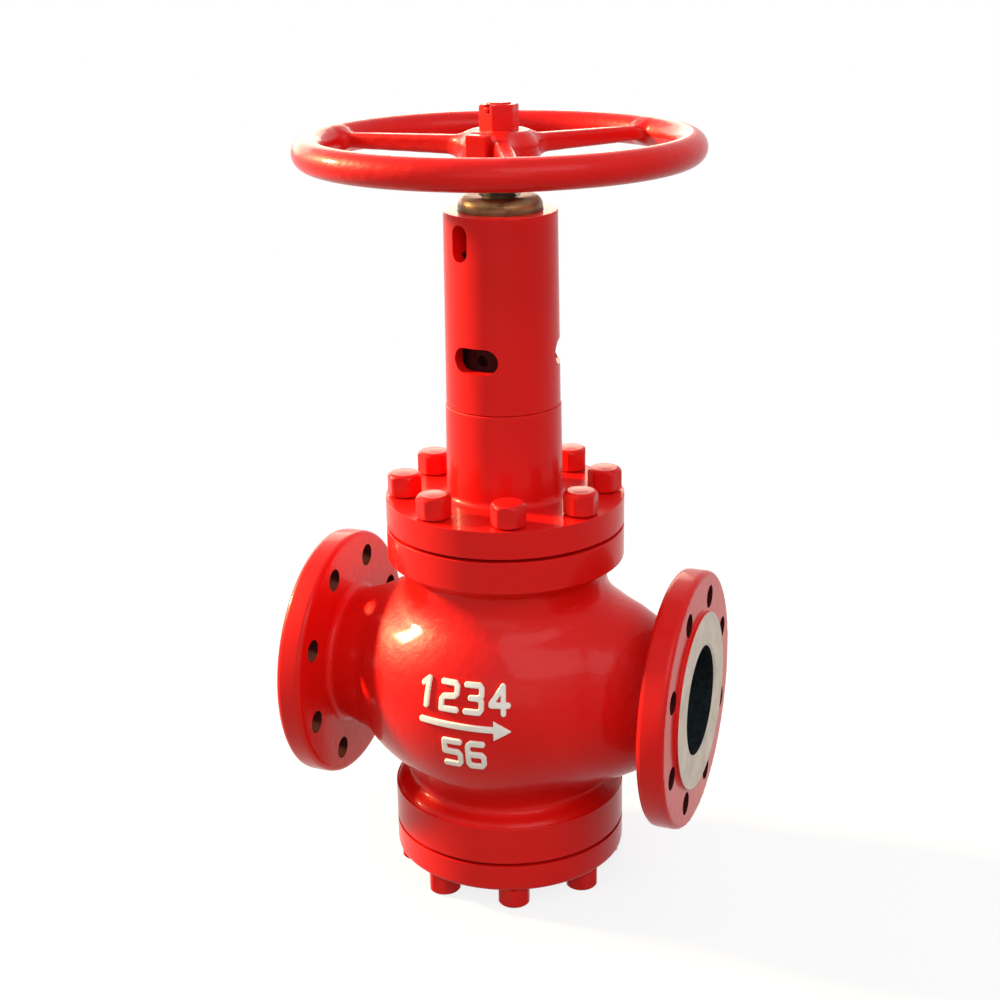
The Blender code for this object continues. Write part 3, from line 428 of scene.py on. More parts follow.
def points_at(level, *corners):
    """Section points from (radius, height above the level), both in millimetres."""
    return [(r * MM, level + h * MM) for r, h in corners]


def from_bmesh(name, work):
    mesh = bpy.data.meshes.new(name)
    work.to_mesh(mesh)
    work.free()
    return new_object(name, mesh)


def turned(name, section, z=0.0, along_x=False, segments=FINE):
    """Spins a closed section of (radius, height) points, and turns its faces outwards."""
    work = bmesh.new()
    loops = []
    on_axis = [r < 1e-7 for r, _ in section]
    for k in range(segments):
        angle = 2 * math.pi * k / segments
        row = []
        for (r, h), centre in zip(section, on_axis):
            if centre and k:
                row.append(loops[0][len(row)])
            else:
                row.append(work.verts.new((r * math.cos(angle), r * math.sin(angle), h)))
        loops.append(row)
    for k in range(segments):
        one, two = loops[k], loops[(k + 1) % segments]
        for i in range(len(section)):
            j = (i + 1) % len(section)
            corners = [one[i], two[i], two[j], one[j]]
            unique = list(dict.fromkeys(corners))
            if len(unique) > 2:
                work.faces.new(unique)
    bmesh.ops.recalc_face_normals(work, faces=work.faces)
    made = from_bmesh(name, work)
    if along_x:
        made.data.transform(Matrix.Rotation(math.pi / 2, 4, "Y"))
    made.data.transform(Matrix.Translation((0, 0, z)))
    return made


def settle(obj):
    """Replaces an object's mesh with the result of its modifiers, and removes them."""
    graph = bpy.context.evaluated_depsgraph_get()
    mesh = bpy.data.meshes.new_from_object(obj.evaluated_get(graph), depsgraph=graph)
    obj.modifiers.clear()
    old = obj.data
    obj.data = mesh
    bpy.data.meshes.remove(old)
    return obj


def cut(target, operation, *others):
    for other in others:
        step = target.modifiers.new(other.name, "BOOLEAN")
        step.operation = operation
        step.solver = "MANIFOLD"
        step.object = other
        settle(target)
        bpy.data.objects.remove(other, do_unlink=True)
    return target


print("lathe ready,", FINE, "segments")

# %% [markdown]
# ## Repeats round an axis
# Nuts, studs, holes and windows repeat round an axis at equal angles. One Geometry Nodes tree
# places copies of a piece on a circle. It is used with another piece, count and radius each time.


# %% A circle of copies
def new_tree(name, **inputs):
    """An empty Geometry Nodes tree with named inputs, and its input node."""
    tree = bpy.data.node_groups.new(name, "GeometryNodeTree")
    tree.interface.new_socket("Geometry", in_out="OUTPUT", socket_type="NodeSocketGeometry")
    for title, kind in inputs.items():
        socket = "NodeSocket" + kind
        tree.interface.new_socket(title.replace("_", " "), in_out="INPUT", socket_type=socket)
    sheet = Sheet(tree)
    return sheet, sheet.node("NodeGroupInput")


def close_tree(sheet, given, geometry):
    """Makes the copies real, gives them the finish and hands them to the tree's output."""
    real = sheet.node("GeometryNodeRealizeInstances", {}, {"Geometry": geometry})
    values = {"Geometry": real, "Material": given.part("Finish")}
    dressed = sheet.node("GeometryNodeSetMaterial", {}, values)
    sheet.node("NodeGroupOutput", {}, {0: dressed}, output=None)
    return sheet.tree


def circle_tree():
    inputs = {"Piece": "Object", "Count": "Int", "Radius": "Float", "First_angle": "Float"}
    inputs.update({"Height": "Float", "Twist": "Float", "Seed": "Int", "Finish": "Material"})
    sheet, given = new_tree("circle_of_copies", **inputs)
    count = given.part("Count")
    points = sheet.node("GeometryNodeMeshLine", {}, {"Count": count, "Offset": (0, 0, 0)})
    angle = sheet.node("GeometryNodeInputIndex") / count * (2 * math.pi) + given.part("First angle")
    radius = given.part("Radius")
    x = angle.math("COSINE") * radius
    y = angle.math("SINE") * radius
    spot = sheet.node("ShaderNodeCombineXYZ", {}, {"X": x, "Y": y, "Z": given.part("Height")})
    placed = sheet.node("GeometryNodeSetPosition", {}, {"Geometry": points, "Position": spot})
    twist = given.part("Twist")
    # Random Value keeps its least and greatest number, as a float, in sockets 2 and 3.
    values = {2: twist * -1, 3: twist, 8: given.part("Seed")}
    loose = sheet.node("FunctionNodeRandomValue", {"data_type": "FLOAT"}, values, output=1)
    facing = sheet.node("ShaderNodeCombineXYZ", {}, {"Z": angle + loose})
    piece = sheet.node("GeometryNodeObjectInfo", {}, {"Object": given.part("Piece")}, "Geometry")
    values = {"Points": placed, "Instance": piece, "Rotation": facing}
    return close_tree(sheet, given, sheet.node("GeometryNodeInstanceOnPoints", {}, values))


CIRCLE = circle_tree()


def grown(name, tree, **inputs):
    """Runs a Geometry Nodes tree on an empty mesh and keeps its result as a plain mesh."""
    made = new_object(name, bpy.data.meshes.new(name))
    step = made.modifiers.new("tree", "NODES")
    step.node_group = tree
    for item in tree.interface.items_tree:
        key = item.name.replace(" ", "_")
        if item.in_out == "INPUT" and key in inputs:
            step[item.identifier] = inputs[key]
    return settle(made)


def round_axis(name, piece, count, radius, first, height, look=None, **twist):
    sizes = {"Radius": float(radius), "Height": float(height), "First_angle": math.radians(first)}
    made = grown(name, CIRCLE, Piece=piece, Count=count, Finish=look, **sizes, **twist)
    bpy.data.objects.remove(piece, do_unlink=True)
    return made


BOLTS, FIRST_BOLT = 8, 22.5
PIPE_BOLTS_R, JOINT_BOLTS_R = 80 * MM, 77 * MM


def joint_bolts(name, piece, height, look=None, **twist):
    """Copies on the bolt circle that the bonnet and the cover share."""
    return round_axis(name, piece, BOLTS, JOINT_BOLTS_R, FIRST_BOLT, height, look, **twist)


print("one tree for every bolt circle")


# %% Finishing a piece
def dress(obj, body, slot, *nodes, looks=(TURNED_RED,), choose=None, angle=34):
    """Shades a piece, gives it its materials, and lets it ride in place of its CAD nodes."""
    obj.data.materials.clear()
    for look in looks:
        obj.data.materials.append(look)
    for face in obj.data.polygons:
        face.material_index = choose(face.center, face.normal) if choose else 0
    obj.data.shade_smooth()
    obj.data.set_sharp_from_angle(angle=math.radians(angle))
    step = obj.modifiers.new("weights", "WEIGHTED_NORMAL")
    step.mode = "FACE_AREA"
    step.weight = 50
    step.keep_sharp = True
    settle(obj)
    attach(obj, body)
    if nodes:
        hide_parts(*nodes)
    print(obj.name, len(obj.data.polygons), "faces")
    return obj


# %% [markdown]
# ## The body casting
# The body is a hollow oval shell with a limb to each pipe flange and a collar above and below. It
# is made as a distance, so that each joint gets the round that it has in the sand: a wide one at
# the outlet limb, and nearly a crease at the inlet one. The turned rims are joined on afterwards.

# %% Casting distance
SHELL = (123 * MM, 111 * MM, 105 * MM)
LONGER, LOWER = 17 * MM, 13 * MM
LIMB_R, FLARE, LIMB_ROOT = 51.5 * MM, 11.5 * MM, 100 * MM
FLANGE_R, FLANGE_BACK, FACE = 100 * MM, 135 * MM, 159 * MM
RAISED_R, RAISED = 69 * MM, 3 * MM
COLLAR_R, NECK_R = 92 * MM, 79 * MM
COLLAR_BACKS = (-84.5 * MM, 99 * MM)
COLLAR_ROUND, SHOULDER = 10 * MM, 5 * MM
COLLAR_FACES = (-119.8 * MM, 128.8 * MM)


def shell(x, y, z):
    """An oval that is longer and lower above and below the pipe than at its sides."""
    upright = z**2 / (y**2 + z**2 + MM**2)
    out = np.clip(np.abs(x) / (70 * MM), 0, 1)
    sizes = (SHELL[0] + LONGER * upright, SHELL[1], SHELL[2] - LOWER * out**2 * (3 - 2 * out))
    scaled = [v / size for v, size in zip((x, y, z), sizes)]
    oval = np.maximum(np.sqrt(sum(v**2 for v in scaled)), 1e-3)
    steep = np.sqrt(sum((v / size) ** 2 for v, size in zip(scaled, sizes)))
    return (oval - 1) * oval / np.maximum(steep, 1e-3)


def casting(x, y, z):
    across = np.hypot(x, y)
    tuck = 0.12 * MM
    neck = np.maximum(across - NECK_R, np.abs(z - 6 * MM) - 108 * MM)
    body = blend(shell(x, y, z), neck, 9 * MM)
    out = np.abs(x)
    pipe = np.hypot(y, z)
    share = np.clip((FLANGE_BACK - out) / (FLANGE_BACK - LIMB_ROOT), 0, 1)
    limb = np.maximum((pipe - LIMB_R - FLARE * share) * 0.96, out - FACE + 6 * MM)
    body = blend(body, limb, np.where(x > 0, 14, 3) * MM)
    for back, face in zip(COLLAR_BACKS, COLLAR_FACES):
        low, high = sorted((back, face))
        middle, half = (low + high) / 2, (high - low) / 2 - tuck
        collar = shave(across - COLLAR_R + tuck, np.abs(z - middle) - half, COLLAR_ROUND)
        body = blend(body, collar, 7 * MM)
    middle, half = (FLANGE_BACK + FACE - RAISED) / 2, (FACE - RAISED - FLANGE_BACK) / 2
    flange = np.maximum(pipe - FLANGE_R + 2 * MM, np.abs(out - middle) - half + tuck)
    return blend(body, flange, 8 * MM)


BODY_CELL = 2.4 * MM
points, faces = skin(casting, (-0.166, -0.12, -0.13), (0.166, 0.12, 0.138), BODY_CELL)
points[:, 2] += PIPE_Z
body = mesh_object("valve_body_casting", points, faces)
print("casting skin:", len(points), "corners")

# %% [markdown]
# The flanges and the hollow are turned. Each pipe flange carries a raised face, and the section of
# every rim has its edges eased, because paint never keeps a sharp edge.

# %% Flanges, hollow and holes
EDGE, JOINT_EDGE, FLANGE_EDGE = 1.6 * MM, 0.6 * MM, 4.5 * MM
for side, name in ((1, "outlet_flange"), (-1, "inlet_flange")):
    rim = eased(
        [
            (0, FACE), (RAISED_R, FACE), (RAISED_R, FACE - RAISED), (FLANGE_R, FACE - RAISED),
            (FLANGE_R, FLANGE_BACK), (0, FLANGE_BACK),
        ],
        FLANGE_EDGE,
    )
    disc = turned(name, rim, along_x=True)
    if side < 0:
        disc.data.transform(Matrix.Rotation(math.pi, 4, "Z"))
    disc.data.transform(Matrix.Translation((0, 0, PIPE_Z)))
    cut(body, "UNION", disc)
for back, face in zip(COLLAR_BACKS, COLLAR_FACES):
    side = math.copysign(1, face)
    shoulder = back + side * SHOULDER
    corners = [(0, face), (COLLAR_R, face), (COLLAR_R, shoulder, 0.9 * MM), (0, shoulder)]
    rim = eased(corners, JOINT_EDGE)
    cut(body, "UNION", turned("collar", rim, z=PIPE_Z))


def oval(half_width, half_height, r_top, r_bottom, steps=40):
    start = math.acos(r_top / half_width)
    end = -math.acos(r_bottom / half_width)
    angles = [start + (end - start) * i / steps for i in range(steps + 1)]
    return [(half_width * math.cos(a), half_height * math.sin(a)) for a in angles]


hollow = [(0, 0.14), (58 * MM, 0.14)] + oval(98.5 * MM, 93.5 * MM, 58 * MM, 48 * MM)
hollow += [(48 * MM, -0.13), (0, -0.13)]
cut(body, "DIFFERENCE", turned("hollow", hollow, z=PIPE_Z))
drum = eased(points_at(0, (0, 46), (62, 46), (62, -46), (0, -46)), 3 * MM)
cut(body, "UNION", turned("drum", drum, z=PIPE_Z))
tube = points_at(0, (0, -50), (51.5, -50), (51.5, -111), (0, -111))
cut(body, "UNION", turned("inlet_tube", tube, z=PIPE_Z, along_x=True))
chamber = points_at(0, (0, 47), (43.8, 47), (43.8, 36), (54, 36))
chamber += points_at(0, (54, -36), (40.8, -36), (40.8, -47), (0, -47))
cut(body, "DIFFERENCE", turned("chamber", chamber, z=PIPE_Z))
PORT_R, OUTLET_ROOT = 42.5 * MM, 82 * MM
outlet = [(0, 0.17), (PORT_R + 12.5 * MM, 0.17), (PORT_R, FACE - 1.5 * MM)]
outlet += [(PORT_R, OUTLET_ROOT), (0, OUTLET_ROOT)]
inlet = [(0, -35 * MM), (35 * MM, -35 * MM), (35 * MM, -50 * MM), (PORT_R, -62 * MM)]
inlet += [(PORT_R, -FACE + 1.5 * MM), (PORT_R + 12.5 * MM, -0.17), (0, -0.17)]
cut(body, "DIFFERENCE", turned("outlet_bore", outlet, z=PIPE_Z, along_x=True))
cut(body, "DIFFERENCE", turned("inlet_bore", inlet, z=PIPE_Z, along_x=True))


def drill(name, radius, low, high):
    section = [(0, high), (radius, high), (radius, low), (0, low)]
    return turned(name, section, segments=32)


bolt = drill("pipe_bolt_hole", 9 * MM, -0.17, 0.17)
holes = round_axis("pipe_bolt_holes", bolt, BOLTS, PIPE_BOLTS_R, FIRST_BOLT, 0)
holes.data.transform(Matrix.Translation((0, 0, PIPE_Z)) @ Matrix.Rotation(math.pi / 2, 4, "Y"))
blank = turned("keep", [(0, 0.12), (0.12, 0.12), (0.12, -0.12), (0, -0.12)], z=PIPE_Z)
cut(holes, "DIFFERENCE", blank)
cut(body, "DIFFERENCE", holes)
for level in (108.8 * MM, -129.8 * MM):
    socket = drill("stud_socket", 8.3 * MM, 0, 30 * MM)
    cut(body, "DIFFERENCE", joint_bolts("sockets", socket, PIPE_Z + level))


def body_finish(at, facing):
    """0 cast paint, 1 turned paint, 2 bare raised face, 3 bare inside darkened as painted shade, 4 wall
    of a bolt hole in painted shade.
    """
    x, across, z = abs(at.x), math.hypot(at.x, at.y), at.z - PIPE_Z
    pipe = math.hypot(at.y, z)
    if x > FACE - 1.2 * MM and pipe < 68.6 * MM and abs(facing.x) > 0.5:
        return 2
    # The bore gets the near-black of painted shade.
    if pipe < 46 * MM:
        return 3
    # Bolt-hole walls get the dark red of painted shade.
    if x > FLANGE_BACK - MM and 70 * MM < pipe < 90 * MM and abs(facing.x) < 0.5:
        return 4
    # The hidden inside of the body gets the near-black of painted shade.
    inside = math.hypot(across / (101 * MM), z / (96 * MM)) < 1 and pipe < 100 * MM
    if inside and x < 101 * MM:
        return 3
    # Inner faces of the collars get the near-black of painted shade.
    if z > COLLAR_BACKS[1] + SHOULDER or z < COLLAR_BACKS[0] - SHOULDER:
        return 1 if across > 60 * MM else 3
    return 1 if pipe > 95 * MM and x > FLANGE_BACK - MM else 0


dress(
    body, "valve", "red_paint", "valve_body",
    looks=(CAST_RED, TURNED_RED, FACED_STEEL, BARE_CASTING_PAINTED_SHADE, PAINTED_SHADE_RED), choose=body_finish,
)

# %% [markdown]
# ## Raised markings
# Foundries cast figures and a flow arrow on the body, and a painter picks them out in cream. Here
# they are plain figures. Each stroke is a line with a round nose, and the distance to the strokes
# gives a raised pad. A ray from the middle of the body then carries each corner of the pad to the
# shell. Halving the ray again and again finds the place where it leaves the shell.

# %% Markings
STROKES = {
    "1": [[(0.2, 0.8), (0.55, 1), (0.55, 0)]],
    "2": [[(0, 1), (0.85, 1), (1, 0.88), (1, 0.62), (0.85, 0.52), (0.15, 0.46), (0, 0.34), (0, 0),
           (1, 0)]],
    "3": [[(0, 1), (0.85, 1), (1, 0.88), (1, 0.62), (0.8, 0.52), (0.3, 0.52)],
          [(0.8, 0.52), (1, 0.4), (1, 0.12), (0.85, 0), (0, 0)]],
    "4": [[(0.75, 0), (0.75, 1), (0, 0.36), (0, 0.3), (1.05, 0.3)]],
    "5": [[(1, 1), (0, 1), (0, 0.56), (0.85, 0.54), (1, 0.42), (1, 0.12), (0.85, 0), (0, 0)]],
    "6": [[(0.95, 1), (0.2, 1), (0, 0.86), (0, 0.12), (0.15, 0), (0.85, 0), (1, 0.12), (1, 0.4),
           (0.85, 0.52), (0.05, 0.52)]],
}
GLYPH_W, GLYPH_H, STROKE = 13.5 * MM, 19 * MM, 2.25 * MM
ROWS = [("1234", -35 * MM, 21.8 * MM, 16.5 * MM), ("56", -10.5 * MM, 20.5 * MM, -26.5 * MM)]


def to_line(u, v, a, b):
    along = np.array(b) - np.array(a)
    t = ((u - a[0]) * along[0] + (v - a[1]) * along[1]) / (along @ along)
    t = np.clip(t, 0, 1)
    return np.hypot(u - a[0] - t * along[0], v - a[1] - t * along[1])


def flat_marks(u, v):
    nearest = np.full(u.shape, 1.0)
    for word, start, pitch, base in ROWS:
        for i, figure in enumerate(word):
            for stroke in STROKES[figure]:
                line = [(start + i * pitch + p * GLYPH_W, base + q * GLYPH_H) for p, q in stroke]
                for a, b in zip(line, line[1:]):
                    nearest = np.minimum(nearest, to_line(u, v, a, b) - STROKE)
    tail, neck, tip = (-31 * MM, 5.5 * MM), (36 * MM, 4.2 * MM), (47 * MM, 3.6 * MM)
    nearest = np.minimum(nearest, to_line(u, v, tail, neck) - 2.3 * MM)
    slope = 7.6 / 15.5
    side = math.hypot(1, slope)
    head = np.maximum((np.abs(v - tip[1]) - (tip[0] - u) * slope) / side, 32 * MM - u)
    return np.minimum(nearest, head)


def marks(u, v, w):
    return shave(flat_marks(u, v), np.abs(w) - 1.9 * MM, 0.8 * MM)


MARK_CELL = 0.6 * MM
points, faces = skin(marks, (-0.042, -0.034, -0.003), (0.052, 0.042, 0.003), MARK_CELL)
level = points[:, 1] / SHELL[2]
turn = points[:, 0] / SHELL[0]
ray = np.stack([np.cos(level) * np.sin(turn), -np.cos(level) * np.cos(turn), np.sin(level)], 1)
inner, outer = np.full(len(ray), 60 * MM), np.full(len(ray), 160 * MM)
for _ in range(24):
    middle = (inner + outer) / 2
    inside = shell(*(ray * middle[:, None]).T) < 0
    inner, outer = np.where(inside, middle, inner), np.where(inside, outer, middle)
on_shell = ray * inner[:, None]
nudge = np.eye(3) * 0.01 * MM
normal = np.stack([shell(*(on_shell + n).T) - shell(*(on_shell - n).T) for n in nudge], 1)
normal /= np.linalg.norm(normal, axis=1)[:, None]
wrapped = on_shell + normal * points[:, 2:] + np.array((0, 0, PIPE_Z))
markings = mesh_object("body_markings", wrapped, faces)
dress(markings, "valve", "red_paint", looks=(CREAM,), angle=60)

# %% [markdown]
# ## Bonnet and bottom cover
# Both close the body and are turned all over. The bonnet carries the neck that the yoke stands on.
# Its foot has a round fillet, and the holes for the studs come from the circle of copies.

# %% Bonnet and cover
CLEAR = 0.3 * MM
NECK_TOP = YOKE_BOTTOM - CLEAR
bonnet_section = points_at(NECK_TOP, (34.1, 20), (34.1, 0), (43.2, 0), (44.0, -0.8))
bonnet_section += arc((49.6 * MM, BONNET_TOP + 5 * MM), 5 * MM, 180, 270, 8)
bonnet_section += eased(
    [(COLLAR_R, BONNET_TOP), (COLLAR_R, BONNET_BOTTOM, JOINT_EDGE), (57.7 * MM, BONNET_BOTTOM)], EDGE
)
bonnet_section += points_at(BONNET_BOTTOM, (57.7, -6), (35.8, -7), (35.8, -38), (28.2, -38))
bonnet_section += points_at(BONNET_BOTTOM, (28.2, -6), (24.6, -5.7))
bonnet_section += points_at(PIPE_Z, (24.6, 129.3), (14.3, 130.8))
bonnet_section += points_at(BONNET_TOP, (14.3, 28), (23, 28)) + points_at(NECK_TOP, (23, 20))
bonnet = turned("bonnet_painted", bonnet_section)
hole = drill("stud_hole", 9 * MM, 0, 30 * MM)
cut(bonnet, "DIFFERENCE", joint_bolts("stud_holes", hole, BONNET_BOTTOM - 4 * MM))
dress(
    bonnet, "valve", "red_paint", "bonnet", looks=(TURNED_RED, STEEL),
    choose=lambda at, facing: 1 if math.hypot(at.x, at.y) < 35 * MM else 0,
)
cover_section = points_at(COVER_BOTTOM, (0, 6), (14.6, 6))
cover_section += points_at(COVER_TOP, (14.6, -1.8), (18.1, -1.8), (18.1, 24.5), (25.8, 24.5))
cover_section += points_at(COVER_TOP, (25.8, 7.5), (47.7, 6), (47.7, 0))
cover_section += eased(
    [(COLLAR_R, COVER_TOP, JOINT_EDGE), (COLLAR_R, COVER_BOTTOM, 4 * MM), (0, COVER_BOTTOM)], EDGE
)
cover = turned("bottom_cover_painted", cover_section)
hole = drill("stud_hole", 9 * MM, 0, 30 * MM)
cut(cover, "DIFFERENCE", joint_bolts("stud_holes", hole, COVER_BOTTOM - 4 * MM))
dress(cover, "valve", "red_paint", "bottom_cover")

# %% [markdown]
# ## Nuts and studs
# A nut starts as a hexagonal bar. The lathe then rounds its top edge and cones its foot, which
# leaves the curved corners. Where a hexagon and a turned blank meet is exactly what a Boolean
# finds. The threads of the studs are plain ridges, and their tips are domed by the paint.


# %% Nuts and studs
def hexagon(name, flats, low, high, ease):
    corner = flats / math.sqrt(3)
    work = bmesh.new()
    bmesh.ops.create_cone(
        work, cap_ends=True, segments=6, radius1=corner, radius2=corner, depth=high - low
    )
    bmesh.ops.bevel(
        work, geom=[e for e in work.edges if abs(e.verts[0].co.z - e.verts[1].co.z) > MM],
        offset=ease, segments=4, affect="EDGES", profile=0.5,
    )
    made = from_bmesh(name, work)
    made.data.transform(Matrix.Translation((0, 0, (low + high) / 2)))
    return made


def nut(name, flats, height, bore, crown, ease, foot=1.2 * MM):
    """A hexagon nut: crown is the round at its top edge, ease the one on its upright edges."""
    corner = flats / math.sqrt(3)
    blank = [(bore, height)]
    blank += arc((corner - 0.6 * MM - crown, height - crown), crown, 90, 0, 8)
    blank += [(corner, height - crown - MM), (corner, foot), (corner - 1.7 * foot, 0)]
    blank += [(bore + 0.8 * MM, 0), (bore, 0.8 * MM)]
    made = hexagon(name, flats, -MM, height + MM, ease)
    return cut(made, "INTERSECT", turned(name + "_blank", blank, segments=96))


TIP_RISE = 0.5 * MM


def threaded_bar(name, radius, length, thread, pitch=2 * MM):
    """A stud whose last stretch shows its thread as a row of ridges, under a domed tip."""
    ball = (radius**2 + TIP_RISE**2) / (2 * TIP_RISE)
    end = math.degrees(math.acos(radius / ball))
    section = arc((0, length - ball), ball, 90, end, 5)
    section[0] = (0, length)
    z = length - TIP_RISE
    while z > length - thread:
        section += [(radius, z - 0.35 * pitch), (radius, z - 0.45 * pitch)]
        section += [(radius - 0.9 * MM, z - 0.85 * pitch), (radius - 0.9 * MM, z - pitch)]
        z -= pitch
    section += [(radius, z - MM), (radius, 0), (0, 0)]
    return turned(name, section, segments=40)


NUT_HEIGHT = 17.8 * MM - TIP_RISE


def stud_and_nut_set(name, length, level, nut_level, upside_down, seed):
    flip = Matrix.Rotation(math.pi, 4, "X") if upside_down else Matrix.Identity(4)
    numbers = range(1, BOLTS + 1)
    stud = threaded_bar("stud", 8 * MM, length, 24 * MM)
    stud.data.transform(flip)
    studs = joint_bolts(name + "_studs_painted", stud, level, TURNED_RED)
    dress(studs, "valve", "red_paint", *[f"{name}_stud_{i}" for i in numbers])
    one = nut("nut", 24 * MM, NUT_HEIGHT, 8.05 * MM, 4.2 * MM, 2 * MM)
    one.data.transform(flip)
    inputs = {"Twist": math.radians(24), "Seed": seed}
    nuts = joint_bolts(name + "_nuts_painted", one, nut_level, TURNED_RED, **inputs)
    dress(nuts, "valve", "red_paint", *[f"{name}_nut_{i}" for i in numbers])


low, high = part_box("bonnet_stud_1")[0].z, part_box("bonnet_stud_1")[1].z
stud_and_nut_set("bonnet", high - low, low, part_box("bonnet_nut_1")[0].z, False, 3)
low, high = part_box("cover_stud_1")[0].z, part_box("cover_stud_1")[1].z
stud_and_nut_set("cover", high - low, high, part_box("cover_nut_1")[1].z, True, 8)

# %% [markdown]
# ## The tubular yoke
# The yoke is a bored tube with three windows, through which a bar turns the packing nut, and two
# slots near its top. The windows are round-ended, so each cutter is a long rounded bar. The same
# circle of copies sets them round the tube.


# %% Yoke tube
def obround(name, width, height, low, high):
    """A bar along X whose section is a slot with round ends, width round the tube by height."""
    radius = min(width, height) / 2
    outline = []
    for k in range(48):
        angle = 2 * math.pi * (k + 0.5) / 48
        y, z = radius * math.cos(angle), radius * math.sin(angle)
        y += math.copysign(max(width / 2 - radius, 0), y)
        z += math.copysign(max(height / 2 - radius, 0), z)
        outline.append((y, z))
    work = bmesh.new()
    ends = [[work.verts.new((x, y, z)) for y, z in outline] for x in (low, high)]
    work.faces.new(ends[0])
    work.faces.new(ends[1][::-1])
    for k in range(48):
        n = (k + 1) % 48
        work.faces.new((ends[0][k], ends[0][n], ends[1][n], ends[1][k]))
    bmesh.ops.recalc_face_normals(work, faces=work.faces)
    return from_bmesh(name, work)


R_LOW, R_TOP, BORE = 43.4 * MM, 42.2 * MM, 33.8 * MM
LEDGE = YOKE_TOP - 12 * MM
yoke_section = [(31.7 * MM, YOKE_TOP)]
yoke_section += arc((R_TOP - 1.2 * MM, YOKE_TOP - 1.2 * MM), 1.2 * MM, 90, 0, 4)
yoke_section += arc((R_LOW - 0.8 * MM, YOKE_BOTTOM + 0.8 * MM), 0.8 * MM, 0, -90, 4)
yoke_section += [(BORE, YOKE_BOTTOM), (BORE, LEDGE - 16 * MM)]
yoke_section += points_at(LEDGE, (22.3, -16), (22.3, 0), (31.7, 0))
yoke = turned("yoke_tube_painted", yoke_section)
window = obround("window", 36.6 * MM, 19 * MM, 26 * MM, 48 * MM)
level = YOKE_BOTTOM + 40.5 * MM
cut(yoke, "DIFFERENCE", round_axis("windows", window, 3, 0, -99, level))
slot_cutter = obround("slot", 15 * MM, 27 * MM, 12 * MM, 48 * MM)
cut(yoke, "DIFFERENCE", round_axis("slots", slot_cutter, 2, 0, -115, YOKE_TOP - 19.5 * MM))
dress(yoke, "valve", "red_paint", "yoke_tube")

# %% [markdown]
# ## The stem and its thread
# The stem lifts the plug through a trapezoidal thread of 5 mm pitch. The thread follows a path, a
# helix, so Geometry Nodes sweep the tooth's section along a spiral over a plain core. Above it the
# stem is square for the wheel, and its end is painted with the wheel nut.


# %% Thread tree
def thread_tree():
    lengths = ("Core_radius", "Depth", "Root_width", "Crest_width", "Length", "Turns", "Low_end")
    inputs = dict.fromkeys(lengths, "Float")
    sheet, given = new_tree("thread", **inputs, Finish="Material")
    radius = given.part("Core radius") + given.part("Depth") / 2
    values = {"Resolution": 40, "Rotations": given.part("Turns"), "Start Radius": radius}
    values.update({"End Radius": radius, "Height": given.part("Length")})
    path = sheet.node("GeometryNodeCurveSpiral", {}, values)
    upright = sheet.node("GeometryNodeSetCurveNormal", {"mode": "Z_UP"}, {"Curve": path})
    values = {"Height": given.part("Depth"), "Bottom Width": given.part("Root width")}
    values.update({"Top Width": given.part("Crest width"), "Offset": 0.0})
    tooth = sheet.node("GeometryNodeCurvePrimitiveQuadrilateral", {"mode": "TRAPEZOID"}, values)
    values = {"Geometry": tooth, "Rotation": (0, 0, TOOTH_TURN)}
    facing = sheet.node("GeometryNodeTransform", {}, values)
    values = {"Curve": upright, "Profile Curve": facing, "Fill Caps": True}
    ridge = sheet.node("GeometryNodeCurveToMesh", {}, values)
    lift = sheet.node("ShaderNodeCombineXYZ", {}, {"Z": given.part("Low end")})
    moved = sheet.node("GeometryNodeSetPosition", {}, {"Geometry": ridge, "Offset": lift})
    return close_tree(sheet, given, moved)


TOOTH_TURN = math.radians(90)
THREAD = thread_tree()
print("thread tree made:", THREAD.name)

# %% Stem
SHANK_R, CORE_R, CREST_R, PITCH = 14 * MM, 11.4 * MM, 13.9 * MM, 5 * MM
THREAD_TURNS, SINK = 17, 0.3 * MM
THREAD_TOP = HUB_BOTTOM - 1.5 * MM
THREAD_LOW = THREAD_TOP - THREAD_TURNS * PITCH
END_R = 9 * MM
STEM_LOW, STEM_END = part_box("stem")[0].z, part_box("stem")[1].z
stem_section = [(0, STEM_END)] + arc((END_R - 1.5 * MM, STEM_END - 1.5 * MM), 1.5 * MM, 90, 0, 4)
stem_section += [(END_R, HUB_BOTTOM - CLEAR), (CORE_R, HUB_BOTTOM - CLEAR)]
stem_section += [(CORE_R, THREAD_LOW), (SHANK_R, THREAD_LOW - 3 * MM)]
stem_section += [(SHANK_R, STEM_LOW + 8 * MM)] + points_at(STEM_LOW, (17, 8), (17, 0), (0, 0))
stem = turned("stem_threaded", stem_section, segments=96)
square = bmesh.new()
WHEEL_TURN = Matrix.Rotation(math.radians(-99), 4, "Z")
at_square = Matrix.Translation((0, 0, (HUB_BOTTOM + HUB_TOP - MM) / 2)) @ WHEEL_TURN
side = 18.8 * MM
bmesh.ops.create_cube(
    square, size=1, matrix=at_square @ Matrix.Diagonal((side, side, HUB_TOP - HUB_BOTTOM - MM, 1))
)
bmesh.ops.bevel(square, geom=list(square.edges), offset=0.6 * MM, segments=2, affect="EDGES")
ridge = grown(
    "thread_ridge", THREAD, Core_radius=CORE_R - SINK, Depth=CREST_R - CORE_R + SINK,
    Root_width=3.1 * MM, Crest_width=1.8 * MM, Length=THREAD_TURNS * PITCH,
    Turns=float(THREAD_TURNS), Low_end=THREAD_LOW,
)
reach = [math.hypot(v.co.x, v.co.y) for v in ridge.data.vertices]
print("thread from", round(min(reach), 5), "to", round(max(reach), 5))
square.from_mesh(ridge.data)
square.from_mesh(stem.data)
bmesh.ops.recalc_face_normals(square, faces=square.faces)
square.to_mesh(stem.data)
square.free()
